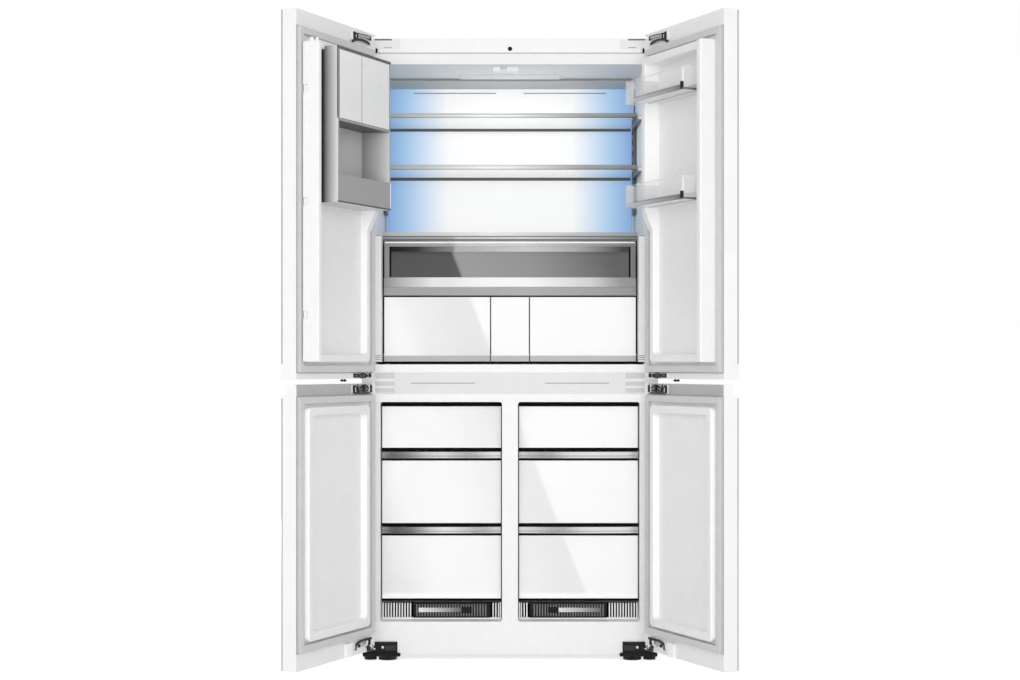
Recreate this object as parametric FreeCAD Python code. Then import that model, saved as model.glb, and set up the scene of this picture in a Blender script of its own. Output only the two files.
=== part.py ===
import FreeCAD, Part
import math
import os

# Four-door refrigerator, drawn with its doors open. Millimetres, +Z up, floor at z = 0.
# X runs across the front, and y is counted back from the cabinet's front plane until export.

# Cabinet rooms and walls, which add up to its width, height and depth
FRIDGE_WIDTH = 826.0
SIDE_WALL = 39.5
FREEZER_SIDE_WALL = 55.5
DIVIDER_WIDTH = 49.0
BASE_CLEARANCE = 40.0
FREEZER_FLOOR_WALL = 78.0
FREEZER_HEIGHT = 671.0
BEAM_HEIGHT = 115.0
FRIDGE_HEIGHT = 917.0
TOP_WALL = 79.0
LIP_HEIGHT = 34.0
CAVITY_DEPTH = 440.0
REAR_WALL = 160.0
CAVITY_CORNER = 8.0
SHEET = 1.2
LINER = 2.5
RETURN_WIDTH = 21.5
BASE_SHEET = 2.0
BEAM_RECESS_HEIGHT = 66.0
BEAM_RECESS_WIDTH = 780.0
BEAM_RECESS_DEPTH = 1.0
PLINTH_CLEARANCE = 18.5

# Machine room and cooling chamber
MACHINE_ROOM_HEIGHT = 220.0
MACHINE_ROOM_DEPTH = 145.0
COMPRESSOR_RADIUS = 62.0
COMPRESSOR_HEIGHT = 140.0
COMPRESSOR_FOOT = 20.0
COMPRESSOR_X = -170.0
CONDENSER_WIDTH = 260.0
CONDENSER_HEIGHT = 140.0
CONDENSER_THICKNESS = 100.0
CONDENSER_X = 150.0
EVAPORATOR_WIDTH = 600.0
EVAPORATOR_HEIGHT = 300.0
EVAPORATOR_THICKNESS = 60.0
CHAMBER_MARGIN = 8.0
CHAMBER_DROP = 12.0
FIN_PITCH = 20.0
FIN_THICKNESS = 1.5
TUBE_RADIUS = 4.0
TUBE_ROWS = 4
FAN_RADIUS = 48.0
FAN_HUB_RADIUS = 14.0
FAN_BLADES = 5
FAN_BLADE_THICKNESS = 2.0
FAN_DEPTH = 22.0
FAN_SHAFT_RADIUS = 3.0
FAN_MOTOR_RADIUS = 24.0
FAN_MOTOR_DEPTH = 16.0
LOUVRE_COUNT = 12
LOUVRE_LENGTH = 200.0
LOUVRE_HEIGHT = 6.0
LOUVRE_PITCH = 14.0
INLET_WIDTH = 34.0
INLET_HEIGHT = 26.0
INLET_DEPTH = 30.0
INLET_WALL = 4.0
INLET_EDGE = 122.5

# Doors
DOOR_THICKNESS = 49.0
SEAL_GAP = 12.0
CENTRE_GAP = 4.0
OPEN_ANGLE = 115.0
UPPER_DOOR_DROP = 43.0
DOOR_SPLIT = 14.0
DOOR_BASE_GAP = 2.0
GRIP_HEIGHT = 31.0
GRIP_DEPTH = 20.0
GRIP_LIP = 4.0
GRIP_GROOVE = 22.0
GRIP_SIDE = 32.0
DOOR_EDGE_RADIUS = 1.5
GASKET_WIDTH = 22.0
GASKET_HINGE_MARGIN = 20.0
GASKET_LEAD_MARGIN = 3.0
GASKET_BASE = 3.0
GASKET_NECK = 4.0
GASKET_NECK_INSET = 4.0
GASKET_HEAD_INSET = 1.5
SEAL_MARGIN = 2.0
TOP_SEAL_MARGIN = 9.0
DYKE_CLEARANCE = 6.0
DYKE_HINGE_INSET = 72.0
DYKE_WIDTH = 24.0
DYKE_LOW = 25.0
DYKE_HIGH = 52.0
DYKE_LEAD_RIGHT = 60.0
DYKE_LEAD_LEFT = 45.0
DYKE_RADIUS = 5.0
DYKE_CORNER = 16.0
PANEL_RISE = 5.0
DYKE_RAMP = 60.0

# Hinges
PIVOT_INSET = 10.5
PIVOT_FROM_FACE = 15.5
PIN_RADIUS = 4.0
PIN_CLEARANCE = 0.05
TONGUE_HALF_WIDTH = 6.0
TONGUE_RADIUS = 8.0
TONGUE_THICKNESS = 5.0
TONGUE_ROOM = 8.0
HINGE_CAP = 3.0
BUSH_LENGTH = 12.0
BUSH_CLEARANCE = 0.3
POCKET_MARGIN = 9.0
POCKET_FACE = 2.0
PLATE_THICKNESS = 3.0
PLATE_SIDE_GAP = 2.5
TOP_PLATE_WIDTH = 114.0
TOP_PLATE_HEIGHT = 28.0
TOP_PLATE_DROP = 4.0
MIDDLE_PLATE_WIDTH = 98.0
MIDDLE_PLATE_MARGIN = 3.0
MIDDLE_LEG_WIDTH = 15.5
STRAP_START = 22.0
STRAP_END = 145.0
STRAP_HEAD = 26.0
STRAP_NECK = 11.0
STRAP_THICKNESS = 5.0
STRAP_BOSS = 2.5
STRAP_GAP = 3.0

# Feet and rollers
FOOT_WIDTH = 106.0
FOOT_DEPTH = 66.0
FOOT_FRONT = 6.0
FOOT_UNDERSIDE = 12.0
FOOT_UPRIGHT = 17.0
FOOT_RADIUS = 4.0
PAD_OUTER_RADIUS = 19.0
PAD_INNER_RADIUS = 28.0
PAD_HEIGHT = 8.0
PAD_STEM_RADIUS = 7.0
PAD_MARGIN = 3.0
ROLLER_RADIUS = 18.0
ROLLER_WIDTH = 24.0
ROLLER_X = 370.0
ROLLER_BACK = 55.0
ROLLER_SIDE_GAP = 1.0
AXLE_RADIUS = 4.0
AXLE_CLEARANCE = 0.05
EAR_THICKNESS = 4.0
EAR_RADIUS = 9.0

# Flip mullion on the upper left door
MULLION_WIDTH = 52.0
MULLION_THICKNESS = 17.5
MULLION_AXIS_INSET = 6.0
MULLION_SEAL_GAP = 0.5
MULLION_END_GAP = 15.0
MULLION_FOOT_GAP = 8.0
MULLION_RADIUS = 3.0
MULLION_DYKE_GAP = 3.0
MULLION_SWEEP_GAP = 5.0
TRUNNION_RADIUS = 3.0
TRUNNION_CLEARANCE = 0.06
MULLION_EAR_HEIGHT = 20.0
MULLION_EAR_RADIUS = 7.0
MULLION_EAR_GAP = 0.5
MULLION_EAR_MARGIN = 120.0
MULLION_EARS = 3
GUIDE_PIN_RADIUS = 4.0
GUIDE_PIN_HEIGHT = 10.0
GUIDE_PIN_INSET = 9.0
GUIDE_WIDTH = 78.0
GUIDE_RIGHT = 26.0
GUIDE_FRONT = 43.0
GUIDE_DEPTH = 35.0
GUIDE_HEIGHT = 14.0
GUIDE_SLOT_WALL = 6.0

# Dispenser on the upper left door
DISPENSER_HINGE_GAP = 4.0
DISPENSER_LEAD_GAP = 11.5
DISPENSER_DEPTH = 95.0
DISPENSER_HEIGHT = 440.0
DISPENSER_DROP = 21.0
DISPENSER_WALL = 8.0
DISPENSER_BACK = 12.0
DISPENSER_RADIUS = 4.0
NICHE_RISE = 80.0
NICHE_HEIGHT = 150.0
NICHE_ROOF = 6.0
NICHE_SIDE = 16.0
COVER_THICKNESS = 5.0
COVER_WIDTH = 164.0
COVER_GAP = 1.5
COVER_EDGE_GAP = 0.4

# Bins on the upper right door
BIN_HINGE_GAP = 2.0
BIN_LEAD_GAP = 15.5
BIN_DEPTH = 93.0
BIN_HEIGHT = 66.0
BIN_WALL = 2.5
BIN_REAR_HEIGHT = 30.0
LOWER_BIN_DROP = 452.0
UPPER_BIN_DROP = 144.0
BIN_RADIUS = 12.0
BIN_RAIL_HEIGHT = 14.0
BIN_RAIL_THICKNESS = 4.0
BIN_RAIL_DROP = 1.0

# Shelves and lamp in the fridge
LOWER_SHELF_DROP = 302.0
UPPER_SHELF_DROP = 141.0
SHELF_GLASS = 4.0
SHELF_FRONT = 120.0
SHELF_BACK_GAP = 18.0
SHELF_SIDE_GAP = 4.0
TRIM_HEIGHT = 14.0
TRIM_THICKNESS = 8.0
TRIM_DROP = 6.0
LEDGE_WIDTH = 12.0
LEDGE_HEIGHT = 10.0
DUCT_PANEL = 10.0
DUCT_SIDE_GAP = 8.0
DUCT_FOOT = 12.0
LAMP_WIDTH = 320.0
LAMP_DEPTH = 70.0
LAMP_FRONT = 190.0
LAMP_HEIGHT = 4.0

# Drawer bay in the fridge, from its floor upwards
CHEEK_WIDTH = 19.0
CHEEK_FRONT = 4.0
BAY_HEIGHT = 396.0
COVER_TRIM_HEIGHT = 25.0
COVER_TRIM_DROP = 13.0
BAY_FRONT = 66.0
BAY_BACK_GAP = 22.0
LOWER_DRAWER_RISE = 9.0
LOWER_DRAWER_HEIGHT = 199.0
BAY_SHELF_RISE = 209.0
BAY_SHELF = 4.0
DIVIDER_SHEET = 2.0
TANK_FRONT_WIDTH = 118.0
FILLER_WIDTH = 60.0
FILLER_LENGTH = 90.0
FILLER_START = 130.0
FRONT_GAP = 1.5
FRONT_THICKNESS = 6.0
TUB_WALL = 2.5
TUB_SIDE_GAP = 6.0
TUB_RADIUS = 10.0
CRISPER_TUB_HEIGHT = 140.0
BASE_STRIP_HEIGHT = 18.0
BASE_STRIP_RECESS = 2.0
FLOOR_RUNNER_HEIGHT = 3.5
FLOOR_RUNNER_WIDTH = 16.0
RUNNER_GAP = 0.3
WIDE_TUB_HEIGHT = 130.0
WIDE_FRAME_THICKNESS = 12.0
WIDE_FRAME_GAP = 4.0
WIDE_TOP_GAP = 1.5
WINDOW_SIDE = 17.0
WINDOW_TOP = 17.0
WINDOW_GLASS = 4.0
WINDOW_SETBACK = 2.0
BAR_LIGHT_HEIGHT = 28.0
BAR_DARK_HEIGHT = 25.0
BAR_LIGHT_THICKNESS = 5.0
BAR_DARK_THICKNESS = 3.0
BAR_GAP = 1.0
FRIDGE_TRAVEL = 260.0

# Freezer drawers: each front's rise over the floor and its height, and the gap over the top one
LOWER_FRONT_RISE = 65.0
LOWER_FRONT_HEIGHT = 194.0
MIDDLE_FRONT_RISE = 297.0
MIDDLE_FRONT_HEIGHT = 193.0
UPPER_FRONT_RISE = 529.0
UPPER_FRONT_GAP = 14.0
FREEZER_FRONT_Y = 42.0
FREEZER_FRONT_GAP = 3.0
FREEZER_TUB_RISE = 3.0
FREEZER_TUB_BACK_GAP = 30.0
FREEZER_TUB_INSET = 11.0
FREEZER_TUB_SHARE_GAP = 40.0
RAIL_HEIGHT = 21.0
RAIL_GAP = 6.0
RAIL_BOW = 9.0
RAIL_DEPTH = 8.0
RAIL_POST = 30.0
RUNNER_HEIGHT = 8.0
RUNNER_BACK_GAP = 15.0
RUNNER_LAP = 8.0
FREEZER_TRAVEL = 260.0

# Return air grilles under the freezer drawers
GRILLE_FRONT = 58.0
GRILLE_THICKNESS = 12.0
GRILLE_HEIGHT = 53.0
GRILLE_FRAME = 4.0
GRILLE_TOP = 3.0
GRILLE_BACK_GAP = 12.0
SLAT_PITCH = 8.5
SLAT_WIDTH = 3.5
CASSETTE_START = 61.0
CASSETTE_END = 298.0
CASSETTE_THICKNESS = 14.0
CASSETTE_GAP = 1.0
CASSETTE_SLOT = 4.0
CASSETTE_SLOT_DEPTH = 5.0
LABEL_HEIGHT = 14.0
LABEL_START = 150.0
LABEL_END = 282.0

# Levels and half widths that follow from the sizes above
HALF_WIDTH = FRIDGE_WIDTH / 2 + SIDE_WALL
FRIDGE_HALF = FRIDGE_WIDTH / 2
FREEZER_HALF = HALF_WIDTH - FREEZER_SIDE_WALL
FLANGE_HALF = HALF_WIDTH - RETURN_WIDTH
DEPTH = CAVITY_DEPTH + REAR_WALL
BASE_Z = BASE_CLEARANCE
FREEZER_Z0 = BASE_Z + FREEZER_FLOOR_WALL
FREEZER_Z1 = FREEZER_Z0 + FREEZER_HEIGHT
FRIDGE_Z0 = FREEZER_Z1 + BEAM_HEIGHT
FRIDGE_Z1 = FRIDGE_Z0 + FRIDGE_HEIGHT
TOP_Z = FRIDGE_Z1 + TOP_WALL
LIP_Z = FRIDGE_Z1 + LIP_HEIGHT
INNER_HALF = HALF_WIDTH - SHEET
MACHINE_Z = BASE_Z + MACHINE_ROOM_HEIGHT
MACHINE_Y = DEPTH - MACHINE_ROOM_DEPTH
INLET_X = HALF_WIDTH - INLET_EDGE

DOOR_WIDTH = HALF_WIDTH - CENTRE_GAP / 2
UPPER_Z0 = FRIDGE_Z0 - UPPER_DOOR_DROP
UPPER_Z1 = TOP_Z
LOWER_Z0 = BASE_Z + DOOR_BASE_GAP
LOWER_Z1 = UPPER_Z0 - DOOR_SPLIT
GRIP_Z = LOWER_Z1 - GRIP_HEIGHT
PIVOT_X = HALF_WIDTH - PIVOT_INSET
PIVOT_Y = PIVOT_FROM_FACE - DOOR_THICKNESS - SEAL_GAP
PIVOT_H = PIVOT_FROM_FACE - DOOR_THICKNESS

MULLION_U = HALF_WIDTH - MULLION_WIDTH / 2 + MULLION_AXIS_INSET
MULLION_H = SEAL_GAP + MULLION_SEAL_GAP + MULLION_THICKNESS / 2
MULLION_REACH = MULLION_WIDTH - MULLION_AXIS_INSET
LEAD_DYKE_RIGHT = HALF_WIDTH - MULLION_WIDTH / 2 - MULLION_DYKE_GAP
LEAD_DYKE_LEFT = LEAD_DYKE_RIGHT - MULLION_SWEEP_GAP
LEAD_DYKE_LOWER = HALF_WIDTH - DIVIDER_WIDTH / 2 - DYKE_CLEARANCE

BAY_Z1 = FRIDGE_Z0 + BAY_HEIGHT
BAY_HALF = FRIDGE_HALF - CHEEK_WIDTH
BAY_SHELF_Z = FRIDGE_Z0 + BAY_SHELF_RISE
DRAWER_Z0 = FRIDGE_Z0 + FLOOR_RUNNER_HEIGHT + RUNNER_GAP
BAY_BACK = CAVITY_DEPTH - BAY_BACK_GAP
SHELF_BACK = CAVITY_DEPTH - SHELF_BACK_GAP
SHELF_LEVELS = (FRIDGE_Z1 - LOWER_SHELF_DROP, FRIDGE_Z1 - UPPER_SHELF_DROP)
DYKE_STEP_Z = BAY_Z1

DISPENSER_START = DYKE_HINGE_INSET + DISPENSER_HINGE_GAP
DISPENSER_END = LEAD_DYKE_LEFT - DYKE_WIDTH - DISPENSER_LEAD_GAP
DISPENSER_Z1 = FRIDGE_Z1 - DISPENSER_DROP
DISPENSER_Z0 = DISPENSER_Z1 - DISPENSER_HEIGHT
NICHE_Z0 = DISPENSER_Z0 + NICHE_RISE
NICHE_Z1 = NICHE_Z0 + NICHE_HEIGHT
COVER_Z0 = NICHE_Z1 + NICHE_ROOF
COVER_SPLIT = DISPENSER_START + DISPENSER_WALL + COVER_WIDTH
BIN_START = DYKE_HINGE_INSET + DYKE_WIDTH + BIN_HINGE_GAP
BIN_END = LEAD_DYKE_RIGHT - DYKE_WIDTH - BIN_LEAD_GAP
BIN_LEVELS = (FRIDGE_Z1 - LOWER_BIN_DROP, FRIDGE_Z1 - UPPER_BIN_DROP)

# Freezer fronts from the floor up: bottom, height, and whether a rail tops the front
UPPER_FRONT_HEIGHT = FREEZER_HEIGHT - UPPER_FRONT_RISE - UPPER_FRONT_GAP
FREEZER_FRONTS = (
    (FREEZER_Z0 + LOWER_FRONT_RISE, LOWER_FRONT_HEIGHT, True),
    (FREEZER_Z0 + MIDDLE_FRONT_RISE, MIDDLE_FRONT_HEIGHT, True),
    (FREEZER_Z0 + UPPER_FRONT_RISE, UPPER_FRONT_HEIGHT, False),
)
FREEZER_TUB_BACK = CAVITY_DEPTH - FREEZER_TUB_BACK_GAP
RUNNER_BACK = CAVITY_DEPTH - RUNNER_BACK_GAP
GRILLE_BACK = CAVITY_DEPTH - GRILLE_BACK_GAP


def opened_plan(u, h):
    """Where a point of an upper or lower left door lies in plan with the door open."""
    x = u - HALF_WIDTH + PIVOT_X
    y = h - SEAL_GAP - PIVOT_Y
    turn = math.radians(-OPEN_ANGLE)
    return (
        x * math.cos(turn) - y * math.sin(turn) - PIVOT_X,
        x * math.sin(turn) + y * math.cos(turn) + PIVOT_Y,
    )


FRONT_POINTS = (
    opened_plan(DOOR_WIDTH, 0),
    opened_plan(MULLION_U + MULLION_THICKNESS / 2, MULLION_H + MULLION_REACH),
    opened_plan(LEAD_DYKE_RIGHT, DYKE_LEAD_RIGHT),
)
FRONT_REACH = -min(point[1] for point in FRONT_POINTS)
FRONT_Y = (FRONT_REACH - DEPTH) / 2

UP = FreeCAD.Vector(0, 0, 1)
ACROSS = FreeCAD.Vector(1, 0, 0)
BACK = FreeCAD.Vector(0, 1, 0)
ORIGIN = FreeCAD.Vector(0, 0, 0)


def block(x, y, z):
    """A box between three pairs of limits, given in either order."""
    low = FreeCAD.Vector(min(x), min(y), min(z))
    return Part.makeBox(abs(x[1] - x[0]), abs(y[1] - y[0]), abs(z[1] - z[0]), low)


def leaf(u, h, z):
    """A box on a closed left door: u from its hinge edge, h inwards from its flange."""
    return block(
        (u[0] - HALF_WIDTH, u[1] - HALF_WIDTH),
        (h[0] - SEAL_GAP, h[1] - SEAL_GAP),
        z,
    )


def rod(point, radius, length, direction=UP):
    """A cylinder from a point along a direction."""
    return Part.makeCylinder(radius, length, FreeCAD.Vector(*point), direction)


def door_rod(u, h, z, radius):
    """An upright cylinder on a closed left door."""
    return rod((u - HALF_WIDTH, h - SEAL_GAP, min(z)), radius, abs(z[1] - z[0]))


def joined(shapes):
    """One solid out of pieces that meet."""
    return shapes[0].fuse(shapes[1:]).removeSplitter()


def rounded(shape, radius, picks):
    """The shape with the edges rounded whose middle point the test picks."""
    edges = [edge for edge in shape.Edges if picks(edge)]
    return shape.makeFillet(radius, edges)


def runs_along(edge, direction):
    """Whether a straight edge lies along a direction."""
    ends = [vertex.Point for vertex in edge.Vertexes]
    if len(ends) < 2:
        return False
    span = ends[1].sub(ends[0])
    return span.Length > 0 and abs(span.dot(direction)) > 0.999 * span.Length


def mirrored(shape):
    """The same piece on the other side of the cabinet."""
    return shape.mirror(ORIGIN, ACROSS)


def opened(shape):
    """A left door piece swung open."""
    turned = shape.copy()
    turned.rotate(FreeCAD.Vector(-PIVOT_X, PIVOT_Y, 0), UP, -OPEN_ANGLE)
    return turned


def both(shape):
    """A left piece and its twin on the right."""
    return [shape, mirrored(shape)]


def export(node, solids):
    """Writes one node, moved so that the origin is under the middle of the open object."""
    shape = solids[0].copy() if len(solids) == 1 else Part.makeCompound(solids)
    shape.translate(FreeCAD.Vector(0, FRONT_Y, 0))
    shape.exportStep("parts/" + node + ".step")


# Cabinet


def cabinet_shell():
    """Folded steel wrapper: sides, top and front returns."""
    outer = block((-HALF_WIDTH, HALF_WIDTH), (0, DEPTH), (BASE_Z, TOP_Z))
    inner = block((-INNER_HALF, INNER_HALF), (-SHEET, DEPTH + SHEET), (BASE_Z - SHEET, TOP_Z - SHEET))
    fold = block((-INNER_HALF, -FLANGE_HALF), (0, SHEET), (BASE_Z, TOP_Z - SHEET))
    return [joined([outer.cut(inner)] + both(fold))]


def inlet_limits(margin):
    """The power inlet's limits across and up, grown by a margin."""
    low_z = MACHINE_Z - INLET_HEIGHT * 2
    x = (INLET_X - INLET_WIDTH / 2 - margin, INLET_X + INLET_WIDTH / 2 + margin)
    return x, (low_z - margin, low_z + INLET_HEIGHT + margin)


def rear_panel():
    """Rear sheet above and louvred machine room cover below."""
    y = (DEPTH - SHEET, DEPTH)
    sheet = block((-INNER_HALF, INNER_HALF), y, (MACHINE_Z, TOP_Z - SHEET))
    cover = block((-INNER_HALF, INNER_HALF), y, (BASE_Z, MACHINE_Z))
    through = (DEPTH - 2 * SHEET, DEPTH + SHEET)
    cuts = []
    for n in range(LOUVRE_COUNT):
        low = BASE_Z + LOUVRE_PITCH * (n + 1)
        for middle in (COMPRESSOR_X, CONDENSER_X):
            x = (middle - LOUVRE_LENGTH / 2, middle + LOUVRE_LENGTH / 2)
            cuts.append(block(x, through, (low, low + LOUVRE_HEIGHT)))
    inlet_x, inlet_z = inlet_limits(0)
    cuts.append(block(inlet_x, through, inlet_z))
    return [sheet, cover.cut(cuts)]


def power_inlet():
    """Recessed mains socket in the machine room cover."""
    x, z = inlet_limits(0)
    body = block(x, (DEPTH - INLET_DEPTH, DEPTH), z)
    well_x, well_z = inlet_limits(-INLET_WALL)
    return [body.cut(block(well_x, (DEPTH - INLET_DEPTH + INLET_WALL, DEPTH + SHEET), well_z))]


def base_plate():
    """Steel floor with the ears and axles of the rear rollers."""
    plate = block((-INNER_HALF, INNER_HALF), (LINER, DEPTH - SHEET), (BASE_Z, BASE_Z + BASE_SHEET))
    y = DEPTH - ROLLER_BACK
    half = ROLLER_WIDTH / 2 + ROLLER_SIDE_GAP
    pieces = [plate]
    for middle in (-ROLLER_X, ROLLER_X):
        for start in (middle - half - EAR_THICKNESS, middle + half):
            pieces.append(rod((start, y, ROLLER_RADIUS), EAR_RADIUS, EAR_THICKNESS, ACROSS))
            ear = block((start, start + EAR_THICKNESS), (y - EAR_RADIUS, y + EAR_RADIUS), (ROLLER_RADIUS, BASE_Z))
            pieces.append(ear)
        span = 2 * (half + EAR_THICKNESS)
        pieces.append(rod((middle - span / 2, y, ROLLER_RADIUS), AXLE_RADIUS, span, ACROSS))
    return [joined(pieces)]


def rear_rollers():
    """Two plastic rollers on the base plate's axles."""
    y = DEPTH - ROLLER_BACK
    wheels = []
    for middle in (-ROLLER_X, ROLLER_X):
        start = (middle - ROLLER_WIDTH / 2, y, ROLLER_RADIUS)
        wheel = rod(start, ROLLER_RADIUS, ROLLER_WIDTH, ACROSS)
        wheels.append(wheel.cut(rod(start, AXLE_RADIUS + AXLE_CLEARANCE, ROLLER_WIDTH, ACROSS)))
    return wheels


def chamber_limits():
    """The evaporator chamber behind the freezer liners."""
    x = EVAPORATOR_WIDTH / 2 + CHAMBER_MARGIN
    y = (CAVITY_DEPTH + LINER, CAVITY_DEPTH + LINER + EVAPORATOR_THICKNESS + 2 * CHAMBER_MARGIN)
    high = FREEZER_Z1 - CHAMBER_DROP
    low = high - EVAPORATOR_HEIGHT - 2 * FAN_RADIUS - 3 * CHAMBER_MARGIN
    return (-x, x), y, (low, high)


def cabinet_insulation():
    """Foam between the steel wrapper and the liners."""
    foam = block((-INNER_HALF, INNER_HALF), (LINER, DEPTH - SHEET), (BASE_Z + BASE_SHEET, TOP_Z - SHEET))
    rooms = [
        block(
            (-FRIDGE_HALF - LINER, FRIDGE_HALF + LINER),
            (0, CAVITY_DEPTH + LINER),
            (FRIDGE_Z0 - LINER, FRIDGE_Z1 + LINER),
        ),
        block((-INNER_HALF, INNER_HALF), (MACHINE_Y, DEPTH), (BASE_Z, MACHINE_Z)),
        block(*chamber_limits()),
    ]
    freezer = block(
        (-FREEZER_HALF - LINER, -DIVIDER_WIDTH / 2 + LINER),
        (0, CAVITY_DEPTH + LINER),
        (FREEZER_Z0 - LINER, FREEZER_Z1 + LINER),
    )
    return [foam.cut(rooms + both(freezer))]


def tub_room(x, z):
    """The rounded inside of a liner, open at the front."""
    room = block(x, (-CAVITY_DEPTH, CAVITY_DEPTH), z)
    return rounded(room, CAVITY_CORNER, lambda edge: edge.CenterOfMass.y > -CAVITY_DEPTH + 1)


def fridge_liner():
    """Moulded fridge tub with its front flange and shelf ledges."""
    x = (-FRIDGE_HALF, FRIDGE_HALF)
    z = (FRIDGE_Z0, FRIDGE_Z1)
    outer = block(
        (x[0] - LINER, x[1] + LINER), (0, CAVITY_DEPTH + LINER), (z[0] - LINER, z[1] + LINER)
    )
    flange = block((-FLANGE_HALF, FLANGE_HALF), (0, LINER), (FRIDGE_Z0 - LINER, LIP_Z))
    tub = joined([outer, flange]).cut(tub_room(x, z))
    ledges = []
    for level in SHELF_LEVELS:
        ledge = block(
            (-FRIDGE_HALF - LINER / 2, -FRIDGE_HALF + LEDGE_WIDTH),
            (SHELF_FRONT, SHELF_BACK),
            (level - LEDGE_HEIGHT, level),
        )
        ledges += both(ledge)
    return [joined([tub] + ledges)]


def freezer_liners():
    """Two moulded freezer tubs with their front flanges."""
    x = (-FREEZER_HALF, -DIVIDER_WIDTH / 2)
    z = (FREEZER_Z0, FREEZER_Z1)
    outer = block(
        (x[0] - LINER, x[1] + LINER), (0, CAVITY_DEPTH + LINER), (z[0] - LINER, z[1] + LINER)
    )
    flange = block((-FLANGE_HALF, x[1] + LINER), (0, LINER), (z[0] - LINER, z[1] + LINER))
    return both(joined([outer, flange]).cut(tub_room(x, z)))


def top_strip():
    """White cover strip over the fridge opening."""
    return [block((-FLANGE_HALF, FLANGE_HALF), (0, LINER), (LIP_Z, TOP_Z - SHEET))]


def middle_beam():
    """Cover of the beam between fridge and freezer, with a shallow band."""
    z = (FREEZER_Z1 + LINER, FRIDGE_Z0 - LINER)
    cover = block((-FLANGE_HALF, FLANGE_HALF), (0, LINER), z)
    middle = (FREEZER_Z1 + FRIDGE_Z0) / 2
    band = block(
        (-BEAM_RECESS_WIDTH / 2, BEAM_RECESS_WIDTH / 2),
        (-BEAM_RECESS_DEPTH, BEAM_RECESS_DEPTH),
        (middle - BEAM_RECESS_HEIGHT / 2, middle + BEAM_RECESS_HEIGHT / 2),
    )
    return [cover.cut(band)]


def freezer_divider():
    """Cover of the post between the two freezer rooms."""
    half = DIVIDER_WIDTH / 2 - LINER
    return [block((-half, half), (0, LINER), (FREEZER_Z0 - LINER, FREEZER_Z1 + LINER))]


def foot_limits():
    """The left foot block's limits across, and along the depth."""
    x = (-HALF_WIDTH + PLATE_SIDE_GAP, -HALF_WIDTH + PLATE_SIDE_GAP + FOOT_WIDTH)
    return x, (-FOOT_FRONT, FOOT_DEPTH - FOOT_FRONT)


def plinth():
    """Kick panel with a folded lower edge, notched round the foot blocks."""
    x = (-FLANGE_HALF, FLANGE_HALF)
    panel = block(x, (0, LINER), (PLINTH_CLEARANCE, FREEZER_Z0 - LINER))
    fold = block(x, (0, FOOT_DEPTH / 2), (PLINTH_CLEARANCE, PLINTH_CLEARANCE + LINER))
    foot_x, foot_y = foot_limits()
    notch = block(foot_x, (foot_y[0], foot_y[1]), (0, BASE_Z))
    return [joined([panel, fold]).cut(both(notch))]


# Hinges


def hinge_levels(face, way):
    """Heights at a hinge corner: pocket, tongue, bush and pin, from the door's end face inwards."""
    start = face + way * HINGE_CAP
    bush = start + way * TONGUE_ROOM
    tongue = bush - way * BUSH_CLEARANCE
    end = bush + way * BUSH_LENGTH
    return {
        "pocket": sorted((start, end)),
        "tongue": sorted((tongue - way * TONGUE_THICKNESS, tongue)),
        "bush": sorted((bush, end)),
        "pin": sorted((tongue - way * TONGUE_THICKNESS, end - way)),
    }


UPPER_CORNERS = (hinge_levels(UPPER_Z0, 1), hinge_levels(UPPER_Z1, -1))
LOWER_CORNERS = (hinge_levels(LOWER_Z0, 1), hinge_levels(GRIP_Z, -1))
POCKET_U = PIVOT_INSET + POCKET_MARGIN


def tongue(corner):
    """A left bracket's arm from the front plane to the pivot, with its pin."""
    z = corner["tongue"]
    x = (-PIVOT_X - TONGUE_HALF_WIDTH, -PIVOT_X + TONGUE_HALF_WIDTH)
    arm = block(x, (PIVOT_Y, 0), z)
    eye = rod((-PIVOT_X, PIVOT_Y, z[0]), TONGUE_RADIUS, TONGUE_THICKNESS)
    pin_z = corner["pin"]
    pin = rod((-PIVOT_X, PIVOT_Y, pin_z[0]), PIN_RADIUS, pin_z[1] - pin_z[0])
    return [arm, eye, pin]


def plate(width, z):
    """A left bracket's plate on the cabinet's front plane."""
    x = -HALF_WIDTH + PLATE_SIDE_GAP
    return block((x, x + width), (-PLATE_THICKNESS, 0), z)


def top_hinges():
    """Brackets of the upper doors' top pins."""
    high = TOP_Z - TOP_PLATE_DROP
    left = joined([plate(TOP_PLATE_WIDTH, (high - TOP_PLATE_HEIGHT, high))] + tongue(UPPER_CORNERS[1]))
    return both(left)


def gasket_levels(upper):
    """Outer height limits of a door's gasket."""
    if upper:
        low = FRIDGE_Z0 - SEAL_MARGIN - GASKET_WIDTH
        high = FRIDGE_Z1 + TOP_SEAL_MARGIN + GASKET_WIDTH
    else:
        low = FREEZER_Z0 - SEAL_MARGIN - GASKET_WIDTH
        high = FREEZER_Z1 + SEAL_MARGIN + GASKET_WIDTH
    return low, high


def middle_hinges():
    """Brackets that carry the upper doors' lower pins and the lower doors' top pins."""
    low = gasket_levels(False)[1] + MIDDLE_PLATE_MARGIN
    high = gasket_levels(True)[0] - MIDDLE_PLATE_MARGIN
    main = plate(MIDDLE_PLATE_WIDTH, (low, high))
    leg = plate(MIDDLE_LEG_WIDTH, (LOWER_CORNERS[1]["tongue"][0], low))
    return both(joined([main, leg] + tongue(UPPER_CORNERS[0]) + tongue(LOWER_CORNERS[1])))


def bottom_hinges():
    """Foot blocks with the lower doors' bottom pins."""
    x, y = foot_limits()
    body = block(x, y, (FOOT_UNDERSIDE, BASE_Z))
    body = rounded(body, FOOT_RADIUS, lambda edge: runs_along(edge, UP))
    upright = block(x, (-FOOT_FRONT, 0), (BASE_Z - FOOT_RADIUS, BASE_Z + FOOT_UPRIGHT))
    upright = rounded(upright, FOOT_FRONT / 3, lambda edge: edge.CenterOfMass.y < -FOOT_FRONT + 0.1)
    return both(joined([body, upright] + tongue(LOWER_CORNERS[0])))


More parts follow.
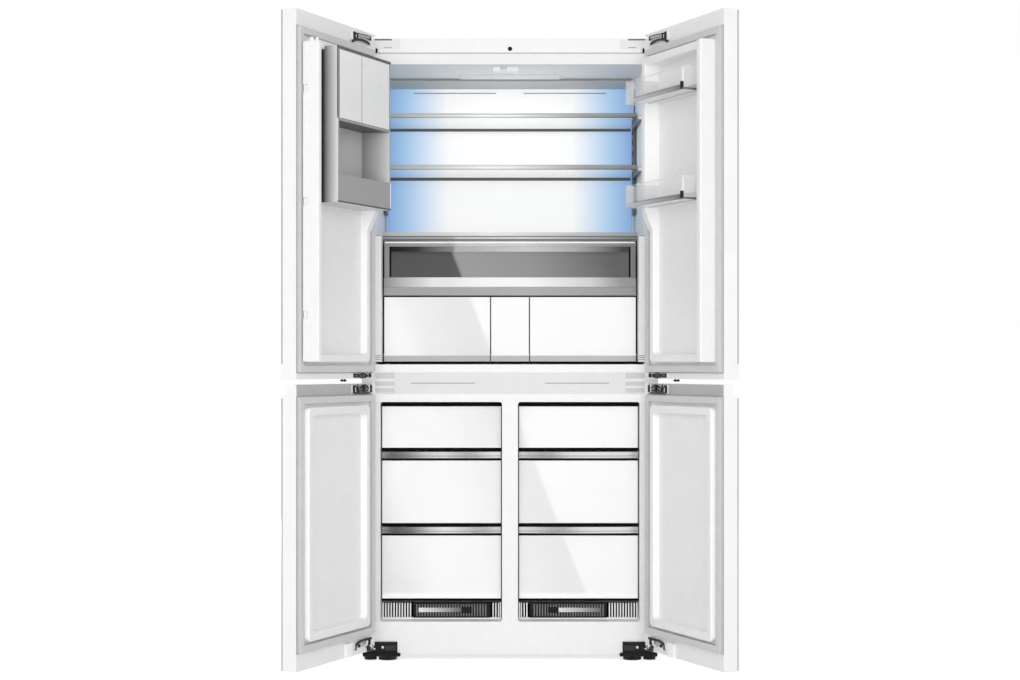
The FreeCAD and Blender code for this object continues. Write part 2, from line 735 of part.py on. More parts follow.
def levelling_feet():
    """Two round pads under each foot block."""
    x, y = foot_limits()
    middle = (y[0] + y[1]) / 2
    feet = []
    for centre, radius in (
        (x[0] + PAD_OUTER_RADIUS + PAD_MARGIN, PAD_OUTER_RADIUS),
        (x[1] - PAD_INNER_RADIUS - PAD_MARGIN, PAD_INNER_RADIUS),
    ):
        pad = rod((centre, middle, 0), radius, PAD_HEIGHT)
        stem = rod((centre, middle, PAD_HEIGHT), PAD_STEM_RADIUS, FOOT_UNDERSIDE - PAD_HEIGHT)
        feet += both(joined([pad, stem]))
    return feet


# Cooling circuit


def fin_pack(x, y, z):
    """A coil: upright fins threaded on straight tubes."""
    count = int((x[1] - x[0]) / FIN_PITCH)
    pieces = []
    for n in range(count + 1):
        at = x[0] + n * (x[1] - x[0] - FIN_THICKNESS) / count
        pieces.append(block((at, at + FIN_THICKNESS), y, z))
    middle = (y[0] + y[1]) / 2
    for row in range(TUBE_ROWS):
        level = z[0] + (row + 0.5) * (z[1] - z[0]) / TUBE_ROWS
        pieces.append(rod((x[0], middle, level), TUBE_RADIUS, x[1] - x[0], ACROSS))
    return joined(pieces)


def condensing_unit():
    """Hermetic compressor pot on its foot plate, and the finned condenser coil beside it."""
    y = MACHINE_Y + MACHINE_ROOM_DEPTH / 2
    floor = BASE_Z + BASE_SHEET
    pot = rod((COMPRESSOR_X, y, floor + COMPRESSOR_FOOT), COMPRESSOR_RADIUS, COMPRESSOR_HEIGHT)
    pot = rounded(pot, COMPRESSOR_RADIUS / 2, lambda edge: edge.Curve.TypeId == "Part::GeomCircle")
    foot = block(
        (COMPRESSOR_X - COMPRESSOR_RADIUS, COMPRESSOR_X + COMPRESSOR_RADIUS),
        (y - COMPRESSOR_RADIUS / 2, y + COMPRESSOR_RADIUS / 2),
        (floor, floor + COMPRESSOR_FOOT + SHEET),
    )
    coil_x = (CONDENSER_X - CONDENSER_WIDTH / 2, CONDENSER_X + CONDENSER_WIDTH / 2)
    coil_y = (y - CONDENSER_THICKNESS / 2, y + CONDENSER_THICKNESS / 2)
    coil = fin_pack(coil_x, coil_y, (floor, floor + CONDENSER_HEIGHT))
    return [joined([pot, foot]), coil]


def fan_place():
    """The fan's axis height and the back of the chamber."""
    _, y, z = chamber_limits()
    return z[1] - CHAMBER_MARGIN - FAN_RADIUS, y[1]


def evaporator():
    """Finned coil in the chamber, and the fan motor above it."""
    _, y, z = chamber_limits()
    x = (-EVAPORATOR_WIDTH / 2, EVAPORATOR_WIDTH / 2)
    coil = fin_pack(x, (y[0] + CHAMBER_MARGIN, y[1] - CHAMBER_MARGIN), (z[0], z[0] + EVAPORATOR_HEIGHT))
    height, back = fan_place()
    motor = rod((0, back - FAN_MOTOR_DEPTH, height), FAN_MOTOR_RADIUS, FAN_MOTOR_DEPTH, BACK)
    front = back - FAN_MOTOR_DEPTH - FAN_DEPTH
    shaft = rod((0, front, height), FAN_SHAFT_RADIUS, FAN_DEPTH + SHEET, BACK)
    return [coil, joined([motor, shaft])]


def evaporator_fan():
    """Axial fan on the motor's shaft."""
    height, back = fan_place()
    front = back - FAN_MOTOR_DEPTH - FAN_DEPTH
    length = FAN_DEPTH - 1
    pieces = [rod((0, front, height), FAN_HUB_RADIUS, length, BACK)]
    for n in range(FAN_BLADES):
        blade = block(
            (FAN_HUB_RADIUS - 2 * FAN_BLADE_THICKNESS, FAN_RADIUS),
            (front, front + length),
            (height - FAN_BLADE_THICKNESS / 2, height + FAN_BLADE_THICKNESS / 2),
        )
        blade.rotate(FreeCAD.Vector(0, front, height), BACK, 360 * n / FAN_BLADES)
        pieces.append(blade)
    bore = rod((0, front, height), FAN_SHAFT_RADIUS + AXLE_CLEARANCE, length, BACK)
    return [joined(pieces).cut(bore)]


# Fridge fittings


def air_duct_panel():
    """Flat panel over the air channel on the rear wall."""
    half = FRIDGE_HALF - CAVITY_CORNER - DUCT_SIDE_GAP / 2
    z = (BAY_Z1 + DUCT_FOOT, FRIDGE_Z1 - CAVITY_CORNER)
    return [block((-half, half), (CAVITY_DEPTH - DUCT_PANEL, CAVITY_DEPTH), z)]


def ceiling_light():
    """Lamp cover on the ceiling."""
    x = (-LAMP_WIDTH / 2, LAMP_WIDTH / 2)
    lamp = block(x, (LAMP_FRONT, LAMP_FRONT + LAMP_DEPTH), (FRIDGE_Z1 - LAMP_HEIGHT, FRIDGE_Z1))
    return [rounded(lamp, LAMP_HEIGHT * 2, lambda edge: runs_along(edge, UP))]


def mullion_guide():
    """Ceiling block with the slot that turns the flip mullion."""
    z = (FRIDGE_Z1 - GUIDE_HEIGHT, FRIDGE_Z1)
    body = block((GUIDE_RIGHT - GUIDE_WIDTH, GUIDE_RIGHT), (GUIDE_FRONT, GUIDE_FRONT + GUIDE_DEPTH), z)
    slot_x = MULLION_U - HALF_WIDTH
    half = GUIDE_PIN_RADIUS + GUIDE_SLOT_WALL
    slot = block(
        (slot_x - half, slot_x + half),
        (GUIDE_FRONT - 1, GUIDE_FRONT + GUIDE_DEPTH - GUIDE_SLOT_WALL),
        (z[0] - 1, z[1] + 1),
    )
    return [body.cut(slot)]


def glass_shelves():
    """Two shelves and the cover of the drawer bay."""
    half = FRIDGE_HALF - SHELF_SIDE_GAP
    panes = [
        block((-half, half), (SHELF_FRONT, SHELF_BACK), (level, level + SHELF_GLASS))
        for level in SHELF_LEVELS
    ]
    panes.append(block((-half, half), (BAY_FRONT, SHELF_BACK), (BAY_Z1, BAY_Z1 + SHELF_GLASS)))
    return panes


def shelf_trims():
    """Metal edge strips along the fronts and backs of the shelves."""
    half = FRIDGE_HALF - SHELF_SIDE_GAP
    trims = []
    for level in SHELF_LEVELS:
        z = (level - TRIM_DROP, level - TRIM_DROP + TRIM_HEIGHT)
        slot = block((-half, half), (SHELF_FRONT, SHELF_BACK), (level, level + SHELF_GLASS))
        inner = half - LEDGE_WIDTH
        front = block((-inner, inner), (SHELF_FRONT - TRIM_THICKNESS, SHELF_FRONT), z)
        back = block((-inner, inner), (SHELF_BACK - TRIM_THICKNESS, SHELF_BACK), (z[0], level))
        front = rounded(front, TRIM_THICKNESS / 4, lambda edge: edge.CenterOfMass.y < SHELF_FRONT - 5)
        trims += [front.cut(slot), back]
    low = BAY_Z1 - COVER_TRIM_DROP
    cover = block(
        (-BAY_HALF, BAY_HALF),
        (BAY_FRONT - TRIM_THICKNESS, BAY_FRONT),
        (low, low + COVER_TRIM_HEIGHT),
    )
    return trims + [cover]


def crisper_frame():
    """Side cheeks, middle shelf and upright sheets of the drawer bay."""
    cheek = block((-FRIDGE_HALF, -BAY_HALF), (CHEEK_FRONT, BAY_BACK), (FRIDGE_Z0 + CAVITY_CORNER, BAY_Z1))
    shelf = block(
        (-BAY_HALF, BAY_HALF),
        (BAY_FRONT + WIDE_FRAME_THICKNESS, BAY_BACK),
        (BAY_SHELF_Z, BAY_SHELF_Z + BAY_SHELF),
    )
    sheet_x = TANK_FRONT_WIDTH / 2 + FRONT_GAP
    upright = block(
        (-sheet_x - DIVIDER_SHEET / 2, -sheet_x + DIVIDER_SHEET / 2),
        (BAY_FRONT + FRONT_THICKNESS, BAY_BACK),
        (FRIDGE_Z0, BAY_SHELF_Z),
    )
    return [joined([shelf] + both(cheek) + both(upright))]


def lower_drawer_limits():
    """Widths of the left crisper's front and tub, and of the tank's tub."""
    crisper = (-BAY_HALF + WIDE_FRAME_GAP, -TANK_FRONT_WIDTH / 2 - 2 * FRONT_GAP)
    tub = (crisper[0] + TUB_SIDE_GAP, crisper[1] - TUB_SIDE_GAP)
    return crisper, tub


def drawer_runners():
    """Rails that the drawers slide on: floor strips in the fridge, wall rails in the freezer."""
    rails = []
    _, tub = lower_drawer_limits()
    floor = (FRIDGE_Z0, FRIDGE_Z0 + FLOOR_RUNNER_HEIGHT)
    y = (BAY_FRONT + WIDE_FRAME_THICKNESS, BAY_BACK)
    tank_edge = TANK_FRONT_WIDTH / 2 - TUB_SIDE_GAP
    for start in (tub[0], tub[1] - FLOOR_RUNNER_WIDTH, -tank_edge):
        rails += both(block((start, start + FLOOR_RUNNER_WIDTH), y, floor))
    for low, _, _ in FREEZER_FRONTS:
        top = low + FREEZER_TUB_RISE - RUNNER_GAP
        lap = FREEZER_FRONT_GAP + FREEZER_TUB_INSET + RUNNER_LAP
        for wall, way in ((-FREEZER_HALF, 1), (-DIVIDER_WIDTH / 2, -1)):
            rail = block(
                (wall, wall + way * lap),
                (FREEZER_FRONT_Y + WIDE_FRAME_THICKNESS, RUNNER_BACK),
                (top - RUNNER_HEIGHT, top),
            )
            rails += both(rail)
    return rails


def tray(x, y, z, wall):
    """An open-topped box with rounded upright corners."""
    outer = rounded(block(x, y, z), TUB_RADIUS, lambda edge: runs_along(edge, UP))
    inner = block(
        (x[0] + wall, x[1] - wall), (y[0] + wall, y[1] - wall), (z[0] + wall, z[1] + wall)
    )
    inner = rounded(inner, TUB_RADIUS - wall, lambda edge: runs_along(edge, UP))
    return outer.cut(inner)


def front_plate(x, z):
    """A lower drawer's front with its recessed base strip."""
    y = (BAY_FRONT, BAY_FRONT + FRONT_THICKNESS)
    face = block(x, y, z)
    strip = block(x, (BAY_FRONT - 1, BAY_FRONT + BASE_STRIP_RECESS), (z[0], z[0] + BASE_STRIP_HEIGHT))
    return face.cut(strip)


LOWER_FRONT_Z = (FRIDGE_Z0 + LOWER_DRAWER_RISE, FRIDGE_Z0 + LOWER_DRAWER_RISE + LOWER_DRAWER_HEIGHT)


def left_crisper():
    """Crisper drawer: tub and front."""
    x, tub_x = lower_drawer_limits()
    y = (BAY_FRONT + FRONT_THICKNESS - TUB_WALL, BAY_BACK - TUB_SIDE_GAP)
    tub = tray(tub_x, y, (DRAWER_Z0, DRAWER_Z0 + CRISPER_TUB_HEIGHT), TUB_WALL)
    return joined([tub, front_plate(x, LOWER_FRONT_Z)])


def water_tank():
    """Pull-out tank with its front, and its lid with a filler hole."""
    half = TANK_FRONT_WIDTH / 2
    x = (-half + TUB_SIDE_GAP, half - TUB_SIDE_GAP)
    y = (BAY_FRONT + FRONT_THICKNESS - TUB_WALL, BAY_BACK - TUB_SIDE_GAP)
    high = DRAWER_Z0 + CRISPER_TUB_HEIGHT
    tank = joined([tray(x, y, (DRAWER_Z0, high), TUB_WALL), front_plate((-half, half), LOWER_FRONT_Z)])
    lid = block(x, (BAY_FRONT + FRONT_THICKNESS, y[1]), (high, high + TUB_WALL))
    filler = block(
        (-FILLER_WIDTH / 2, FILLER_WIDTH / 2),
        (FILLER_START, FILLER_START + FILLER_LENGTH),
        (high - 1, high + TUB_WALL + 1),
    )
    filler = rounded(filler, TUB_RADIUS, lambda edge: runs_along(edge, UP))
    return [tank, lid.cut(filler)]


WIDE_HALF = BAY_HALF - WIDE_FRAME_GAP
WIDE_Z0 = BAY_SHELF_Z + BAY_SHELF + RUNNER_GAP
WIDE_Z1 = BAY_Z1 - COVER_TRIM_DROP - WIDE_TOP_GAP
BARS_Z1 = WIDE_Z0 + BAR_DARK_HEIGHT + BAR_GAP + BAR_LIGHT_HEIGHT


def window_limits(margin):
    """Limits of the wide drawer's window, grown by a margin."""
    half = WIDE_HALF - WINDOW_SIDE + margin
    return (-half, half), (BARS_Z1 + 2 * BAR_GAP - margin, WIDE_Z1 - WINDOW_TOP + margin)


def wide_drawer():
    """Full-width drawer: tub with front frame, and two metal bars on the frame."""
    y = (BAY_FRONT, BAY_FRONT + WIDE_FRAME_THICKNESS)
    frame = block((-WIDE_HALF, WIDE_HALF), y, (WIDE_Z0, WIDE_Z1))
    x, z = window_limits(0)
    frame = frame.cut(block(x, (BAY_FRONT - 1, BAY_FRONT + WIDE_FRAME_THICKNESS + 1), z))
    tub_half = WIDE_HALF - TUB_SIDE_GAP
    tub_y = (y[1] - TUB_WALL, BAY_BACK - TUB_SIDE_GAP)
    tub = tray((-tub_half, tub_half), tub_y, (WIDE_Z0, WIDE_Z0 + WIDE_TUB_HEIGHT), TUB_WALL)
    opening = block(x, (tub_y[0] - 1, tub_y[0] + TUB_WALL + 1), (z[0], WIDE_Z1))
    body = joined([frame, tub.cut(opening)])
    dark_top = WIDE_Z0 + BAR_DARK_HEIGHT
    dark = block((-WIDE_HALF, WIDE_HALF), (BAY_FRONT - BAR_DARK_THICKNESS, BAY_FRONT), (WIDE_Z0, dark_top))
    light = block(
        (-WIDE_HALF, WIDE_HALF), (BAY_FRONT - BAR_LIGHT_THICKNESS, BAY_FRONT), (dark_top + BAR_GAP, BARS_Z1)
    )
    light = rounded(light, BAR_LIGHT_THICKNESS / 3, lambda edge: edge.CenterOfMass.y < BAY_FRONT - 4)
    return [body, dark, light]


def wide_drawer_window():
    """Smoked glass in the wide drawer's front."""
    x, z = window_limits(0)
    y = BAY_FRONT + WINDOW_SETBACK
    return [block(x, (y, y + WINDOW_GLASS), z)]


# Freezer fittings


def bowed_rail(x, low):
    """A metal rail whose front bows forwards, on two posts."""
    y = FREEZER_FRONT_Y
    middle = (x[0] + x[1]) / 2
    back = y + RAIL_DEPTH
    ends = [FreeCAD.Vector(x[0], y, low), FreeCAD.Vector(x[1], y, low)]
    arc = Part.Arc(ends[0], FreeCAD.Vector(middle, y - RAIL_BOW, low), ends[1]).toShape()
    corners = [ends[1], FreeCAD.Vector(x[1], back, low), FreeCAD.Vector(x[0], back, low), ends[0]]
    wire = Part.Wire([arc] + Part.makePolygon(corners).Edges)
    return Part.Face(wire).extrude(FreeCAD.Vector(0, 0, RAIL_HEIGHT))


def freezer_drawer(front):
    """A left freezer drawer: tub, front and, on the lower ones, the metal rail over the front."""
    low, height, railed = front
    x = (-FREEZER_HALF + FREEZER_FRONT_GAP, -DIVIDER_WIDTH / 2 - FREEZER_FRONT_GAP)
    y = (FREEZER_FRONT_Y, FREEZER_FRONT_Y + FRONT_THICKNESS)
    face = block(x, y, (low, low + height))
    face = rounded(face, FRONT_THICKNESS / 3, lambda edge: edge.CenterOfMass.y < y[0] + 0.1)
    tub_x = (x[0] + FREEZER_TUB_INSET, x[1] - FREEZER_TUB_INSET)
    tub_z = (low + FREEZER_TUB_RISE, low + height - FREEZER_TUB_SHARE_GAP)
    tub = tray(tub_x, (y[1] - TUB_WALL, FREEZER_TUB_BACK), tub_z, TUB_WALL)
    pieces = [tub, face]
    if not railed:
        return [joined(pieces)]
    rail_z = low + height + RAIL_GAP
    for start in (x[0] + RAIL_POST, x[1] - 2 * RAIL_POST):
        post_y = (y[0] + 1, y[1])
        pieces.append(block((start, start + RAIL_POST), post_y, (low + height - 1, rail_z)))
    return [joined(pieces), bowed_rail(x, rail_z)]


def grille_limits():
    """Width of the left return air grille."""
    return -FREEZER_HALF + FREEZER_FRONT_GAP, -DIVIDER_WIDTH / 2 - FREEZER_FRONT_GAP


def return_grilles():
    """Slatted fronts and tops of the return air ducts on the freezer floor."""
    x = grille_limits()
    y = (GRILLE_FRONT, GRILLE_FRONT + GRILLE_THICKNESS)
    z = (FREEZER_Z0, FREEZER_Z0 + GRILLE_HEIGHT)
    top = block(x, (GRILLE_FRONT, GRILLE_BACK), (z[1] - GRILLE_TOP, z[1]))
    sill = block(x, y, (z[0], z[0] + GRILLE_FRAME))
    ends = [block((x[0], x[0] + GRILLE_FRAME), y, z), block((x[1] - GRILLE_FRAME, x[1]), y, z)]
    gap = (-CASSETTE_END - CASSETTE_GAP, -CASSETTE_START + CASSETTE_GAP)
    slats = []
    for n in range(1, int((x[1] - x[0]) / SLAT_PITCH)):
        at = x[0] + n * SLAT_PITCH
        if at + SLAT_WIDTH < gap[0] or at > gap[1]:
            slats.append(block((at, at + SLAT_WIDTH), y, z))
    room = tub_room((-FREEZER_HALF, -DIVIDER_WIDTH / 2), (FREEZER_Z0, FREEZER_Z1))
    return both(joined([top, sill] + ends + slats).common(room))


def filter_cassettes():
    """Dark slotted air filter cassettes set into the grilles."""
    y = (GRILLE_FRONT + GRILLE_THICKNESS - CASSETTE_THICKNESS, GRILLE_FRONT + GRILLE_THICKNESS)
    z = (FREEZER_Z0 + GRILLE_FRAME, FREEZER_Z0 + GRILLE_HEIGHT - GRILLE_TOP)
    body = block((-CASSETTE_END, -CASSETTE_START), y, z)
    middle = (z[0] + z[1]) / 2
    cuts = []
    for n in range(1, int((CASSETTE_END - CASSETTE_START) / SLAT_PITCH)):
        at = -CASSETTE_END + n * SLAT_PITCH
        slot_z = (z[0] + GRILLE_FRAME, z[1] - GRILLE_FRAME)
        cuts.append(block((at, at + CASSETTE_SLOT), (y[0] - 1, y[0] + CASSETTE_SLOT_DEPTH), slot_z))
    label = block(
        (-LABEL_END, -LABEL_START), (y[0], y[1] - 1), (middle - LABEL_HEIGHT / 2, middle + LABEL_HEIGHT / 2)
    )
    return both(joined([body.cut(cuts), label]))


# Doors


def door_profile(upper, inset):
    """A door's block, shrunk by an inset, with its grip groove and, on a lower door, the grip step."""
    u = (inset, DOOR_WIDTH - inset)
    h = (-DOOR_THICKNESS + inset, 0)
    groove_u = (GRIP_SIDE - inset, DOOR_WIDTH - GRIP_SIDE + inset)
    groove_h = (-DOOR_THICKNESS + GRIP_LIP - inset, -DOOR_THICKNESS + GRIP_DEPTH + inset)
    if upper:
        groove = leaf(groove_u, groove_h, (UPPER_Z0 - 1, UPPER_Z0 + GRIP_GROOVE + inset))
        return leaf(u, h, (UPPER_Z0 + inset, UPPER_Z1 - inset)).cut(groove)
    body = leaf(u, h, (LOWER_Z0 + inset, GRIP_Z - inset))
    cap = leaf(u, (-DOOR_THICKNESS + GRIP_DEPTH + inset, 0), (LOWER_Z0 + inset, LOWER_Z1 - inset))
    groove = leaf(groove_u, groove_h, (GRIP_Z - GRIP_GROOVE - inset, GRIP_Z + 1))
    return joined([body, cap]).cut(groove)


def pockets(upper):
    """The hinge pockets of a door."""
    corners = UPPER_CORNERS if upper else LOWER_CORNERS
    h = (-DOOR_THICKNESS + POCKET_FACE, SEAL_GAP)
    return [leaf((-1, POCKET_U), h, corner["pocket"]) for corner in corners]


def ring(u, z, width, height):
    """A raised frame with rounded corners on a door's flange."""
    outer = leaf(u, (0, height), z)
    outer = rounded(outer, DYKE_CORNER, lambda edge: runs_along(edge, BACK))
    hole = leaf((u[0] + width, u[1] - width), (-1, height + 1), (z[0] + width, z[1] - width))
    hole = rounded(hole, DYKE_CORNER, lambda edge: runs_along(edge, BACK))
    return outer.cut(hole)


def dyke_limits(upper, lead):
    """Width and height limits of a door's raised inner frame."""
    if upper:
        z = (FRIDGE_Z0 + DYKE_CLEARANCE, FRIDGE_Z1 - DYKE_CLEARANCE)
    else:
        z = (FREEZER_Z0 + DYKE_CLEARANCE, FREEZER_Z1 - DYKE_CLEARANCE)
    return (DYKE_HINGE_INSET, lead), z


def crest(shape, height):
    """A raised bar with its top edges rounded."""
    level = height - SEAL_GAP - 0.1
    return rounded(shape, DYKE_RADIUS, lambda edge: edge.CenterOfMass.y > level)


def dyke(upper, lead, lead_height, skin):
    """The raised inner frame of a door, as a solid, shrunk by the skin's thickness."""
    u, z = dyke_limits(upper, lead)
    u = (u[0] + skin, u[1] - skin)
    z = (z[0] + skin, z[1] - skin)
    width = DYKE_WIDTH - 2 * skin
    low = DYKE_LOW - skin
    base = leaf(u, (-2 * LINER, PANEL_RISE - skin), z)
    base = rounded(base, DYKE_CORNER, lambda edge: runs_along(edge, BACK))
    frame = ring(u, z, width, low)
    pieces = [base, frame if skin else crest(frame, low)]
    if upper:
        high = DYKE_HIGH - skin
        step = DYKE_STEP_Z + skin
        bar = leaf((u[0], u[0] + width), (0, high), (step, z[1]))
        ramp = Part.makePolygon(
            [
                FreeCAD.Vector(u[0] - HALF_WIDTH - 1, low - SEAL_GAP, step - 1),
                FreeCAD.Vector(u[0] - HALF_WIDTH - 1, low - SEAL_GAP, step),
                FreeCAD.Vector(u[0] - HALF_WIDTH - 1, high - SEAL_GAP + 1, step + DYKE_RAMP),
                FreeCAD.Vector(u[0] - HALF_WIDTH - 1, high - SEAL_GAP + 1, step - 1),
                FreeCAD.Vector(u[0] - HALF_WIDTH - 1, low - SEAL_GAP, step - 1),
            ]
        )
        bar = bar.cut(Part.Face(ramp).extrude(FreeCAD.Vector(width + 2, 0, 0)))
        roof = leaf((u[0], u[1]), (0, high), (z[1] - width, z[1]))
        post = leaf((u[1] - width, u[1]), (0, lead_height - skin), z)
        if not skin:
            bar = crest(bar, high)
            roof = crest(roof, high)
            post = crest(post, lead_height)
        pieces += [bar, roof, post]
    return joined(pieces)


def gasket(upper):
    """Bellows seal round a door: base, neck and magnet head."""
    u = (GASKET_HINGE_MARGIN, DOOR_WIDTH - GASKET_LEAD_MARGIN)
    z = gasket_levels(upper)
    neck = GASKET_BASE + GASKET_NECK
    top = SEAL_GAP - RUNNER_GAP
    rings = []
    for inset, h in (
        (0, (0, GASKET_BASE)),
        (GASKET_NECK_INSET, (GASKET_BASE, neck)),
        (GASKET_HEAD_INSET, (neck, top)),
    ):
        outer = leaf((u[0] + inset, u[1] - inset), h, (z[0] + inset, z[1] - inset))
        rim = GASKET_WIDTH - inset
        hole = leaf((u[0] + rim, u[1] - rim), (h[0] - 1, h[1] + 1), (z[0] + rim, z[1] - rim))
        rings.append(outer.cut(hole))
    return joined(rings)


def strap(level, height):
    """Hinge strap on a door's flange: head, neck and eye."""
    head = leaf((STRAP_END - STRAP_HEAD, STRAP_END), (0, STRAP_THICKNESS), (level - height / 2, level + height / 2))
    neck = leaf(
        (STRAP_START, STRAP_END), (0, STRAP_THICKNESS - 1), (level - STRAP_NECK / 2, level + STRAP_NECK / 2)
    )
    eye_u = STRAP_START + height / 2
    eye = rod((eye_u - HALF_WIDTH, -SEAL_GAP, level), height / 2, STRAP_THICKNESS, BACK)
    boss_u = STRAP_END - STRAP_HEAD / 2
    boss = rod((boss_u - HALF_WIDTH, -SEAL_GAP, level), height / 4, STRAP_THICKNESS + STRAP_BOSS, BACK)
    return joined([neck, head, eye, boss])


def strap_places(upper):
    """Middle heights and heights of a door's two straps, on the flange outside the gasket."""
    seal = gasket_levels(upper)
    ends = (UPPER_Z0, UPPER_Z1) if upper else (LOWER_Z0, LOWER_Z1)
    places = []
    for edge, face in ((seal[0], ends[0]), (seal[1], ends[1])):
        room = abs(face - edge) - 2 * STRAP_GAP
        places.append(((edge + face) / 2, min(room, STRAP_HEAD)))
    return places


def door_skin(upper):
    """Steel door skin, its hinge bushes and its hinge straps."""
    outer = door_profile(upper, 0)
    front = -DOOR_THICKNESS - SEAL_GAP
    outer = rounded(outer, DOOR_EDGE_RADIUS, lambda edge: edge.CenterOfMass.y < front + 0.1)
    inner = door_profile(upper, SHEET)
    skin = outer.cut([inner] + pockets(upper))
    solids = [skin]
    corners = UPPER_CORNERS if upper else LOWER_CORNERS
    for corner in corners:
        bush = leaf((SHEET, POCKET_U), (-DOOR_THICKNESS + POCKET_FACE, -LINER), corner["bush"])
        solids.append(bush.cut(door_rod(PIVOT_INSET, PIVOT_H, corner["bush"], PIN_RADIUS + PIN_CLEARANCE)))
    return solids + [strap(level, height) for level, height in strap_places(upper)]


def door_liner(upper, lead, lead_height):
    """Moulded inner panel with the raised frame."""
    sheet = door_profile(upper, SHEET).common(leaf((0, DOOR_WIDTH), (-LINER, 0), (0, TOP_Z)))
    shell = joined([sheet, dyke(upper, lead, lead_height, 0)])
    core = dyke(upper, lead, lead_height, LINER)
    below = leaf((0, DOOR_WIDTH), (-3 * LINER, -LINER), (0, TOP_Z))
    return shell.cut([core, below] + pockets(upper))


def door_foam(upper, lead, lead_height):
    """Foam core between skin and inner panel."""
    slab = door_profile(upper, SHEET).cut(leaf((0, DOOR_WIDTH), (-LINER, 1), (0, TOP_Z)))
    return joined([slab, dyke(upper, lead, lead_height, LINER)]).cut(pockets(upper))


# Pieces on the upper left door


def mullion_ear_levels():
    """Heights of the flip mullion's hinge ears."""
    z = mullion_levels()
    low = z[0] + MULLION_EAR_MARGIN
    high = z[1] - MULLION_EAR_MARGIN - MULLION_EAR_HEIGHT
    step = (high - low) / (MULLION_EARS - 1)
    return [(low + n * step, low + n * step + MULLION_EAR_HEIGHT) for n in range(MULLION_EARS)]


def mullion_levels():
    """The flip mullion's lower and upper ends."""
    return FRIDGE_Z0 + MULLION_FOOT_GAP, FRIDGE_Z1 - MULLION_END_GAP


def mullion_ears():
    """Moulded ears on the inner panel that hold the flip mullion's trunnions."""
    ears = []
    for z in mullion_ear_levels():
        arm = leaf(
            (LEAD_DYKE_LEFT - LINER / 2, MULLION_U),
            (MULLION_H - MULLION_EAR_RADIUS, MULLION_H + MULLION_EAR_RADIUS),
            z,
        )
        eye = door_rod(MULLION_U, MULLION_H, z, MULLION_EAR_RADIUS)
        bore = door_rod(MULLION_U, MULLION_H, z, TRUNNION_RADIUS + TRUNNION_CLEARANCE)
        ears.append(joined([arm, eye]).cut(bore))
    return ears


def flip_mullion():
    """Hinged bar that closes the gap between the upper doors, folded inwards."""
    z = mullion_levels()
    u = (MULLION_U - MULLION_THICKNESS / 2, MULLION_U + MULLION_THICKNESS / 2)
    h = (MULLION_H - MULLION_AXIS_INSET, MULLION_H + MULLION_REACH)
    bar = rounded(leaf(u, h, z), MULLION_RADIUS, lambda edge: runs_along(edge, UP))
    notch_h = MULLION_H + MULLION_EAR_RADIUS + MULLION_RADIUS
    cuts = []
    trunnions = []
    for ear in mullion_ear_levels():
        gap = (ear[0] - MULLION_EAR_GAP, ear[1] + MULLION_EAR_GAP)
        cuts.append(leaf((u[0] - 1, u[1] + 1), (h[0] - 1, notch_h), gap))
        reach = (gap[0] - MULLION_EAR_HEIGHT / 4, gap[1] + MULLION_EAR_HEIGHT / 4)
        trunnions.append(door_rod(MULLION_U, MULLION_H, reach, TRUNNION_RADIUS))
    pin_h = MULLION_H + MULLION_REACH - GUIDE_PIN_INSET
    pin = door_rod(MULLION_U, pin_h, (z[1] - 1, z[1] + GUIDE_PIN_HEIGHT), GUIDE_PIN_RADIUS)
    pin = rounded(pin, GUIDE_PIN_RADIUS / 2, lambda edge: edge.CenterOfMass.z > z[1] + GUIDE_PIN_HEIGHT - 0.1)
    return [joined([bar.cut(cuts), pin] + trunnions)]


def dispenser_room(z):
    """The inside of the dispenser's upper compartment."""
    u = (DISPENSER_START + DISPENSER_WALL, DISPENSER_END - DISPENSER_WALL)
    return leaf(u, (PANEL_RISE + DISPENSER_BACK, DISPENSER_DEPTH + 1), z)


def niche_room():
    """The open niche, whose hinge side slants past the door's raised frame."""
    face = DISPENSER_DEPTH + 1
    back = PANEL_RISE + DISPENSER_BACK
    lead = DISPENSER_END - DISPENSER_WALL
    hinge = DISPENSER_START + DISPENSER_WALL
    slant = DYKE_HINGE_INSET + DYKE_WIDTH + NICHE_SIDE
    outline = ((hinge, face), (hinge, DISPENSER_DEPTH), (slant, back), (lead, back), (lead, face), (hinge, face))
    points = [FreeCAD.Vector(u - HALF_WIDTH, h - SEAL_GAP, NICHE_Z0) for u, h in outline]
    return Part.Face(Part.makePolygon(points)).extrude(FreeCAD.Vector(0, 0, NICHE_HEIGHT))


def dispenser_housing():
    """Grey housing with a closed upper room and an open niche below."""
    body = leaf(
        (DISPENSER_START, DISPENSER_END), (PANEL_RISE, DISPENSER_DEPTH), (DISPENSER_Z0, DISPENSER_Z1)
    )
    face = DISPENSER_DEPTH - SEAL_GAP - 0.1
    body = rounded(body, DISPENSER_RADIUS, lambda edge: edge.CenterOfMass.y > face)
    upper = dispenser_room((COVER_Z0, DISPENSER_Z1 - DISPENSER_WALL))
    frame_u = (DYKE_HINGE_INSET - 1, DYKE_HINGE_INSET + DYKE_WIDTH)
    dyke_room = leaf(frame_u, (0, DYKE_HIGH), (DISPENSER_Z0 - 1, DISPENSER_Z1 + 1))
    roof_z = FRIDGE_Z1 - DYKE_CLEARANCE - DYKE_WIDTH
    roof_room = leaf((0, DOOR_WIDTH), (0, DYKE_HIGH), (roof_z, DISPENSER_Z1 + 1))
    corner_room = leaf((0, DOOR_WIDTH), (0, DYKE_LOW), (roof_z - DYKE_CORNER, DISPENSER_Z1 + 1))
    return [body.cut([niche_room(), upper, dyke_room, roof_room, corner_room])]


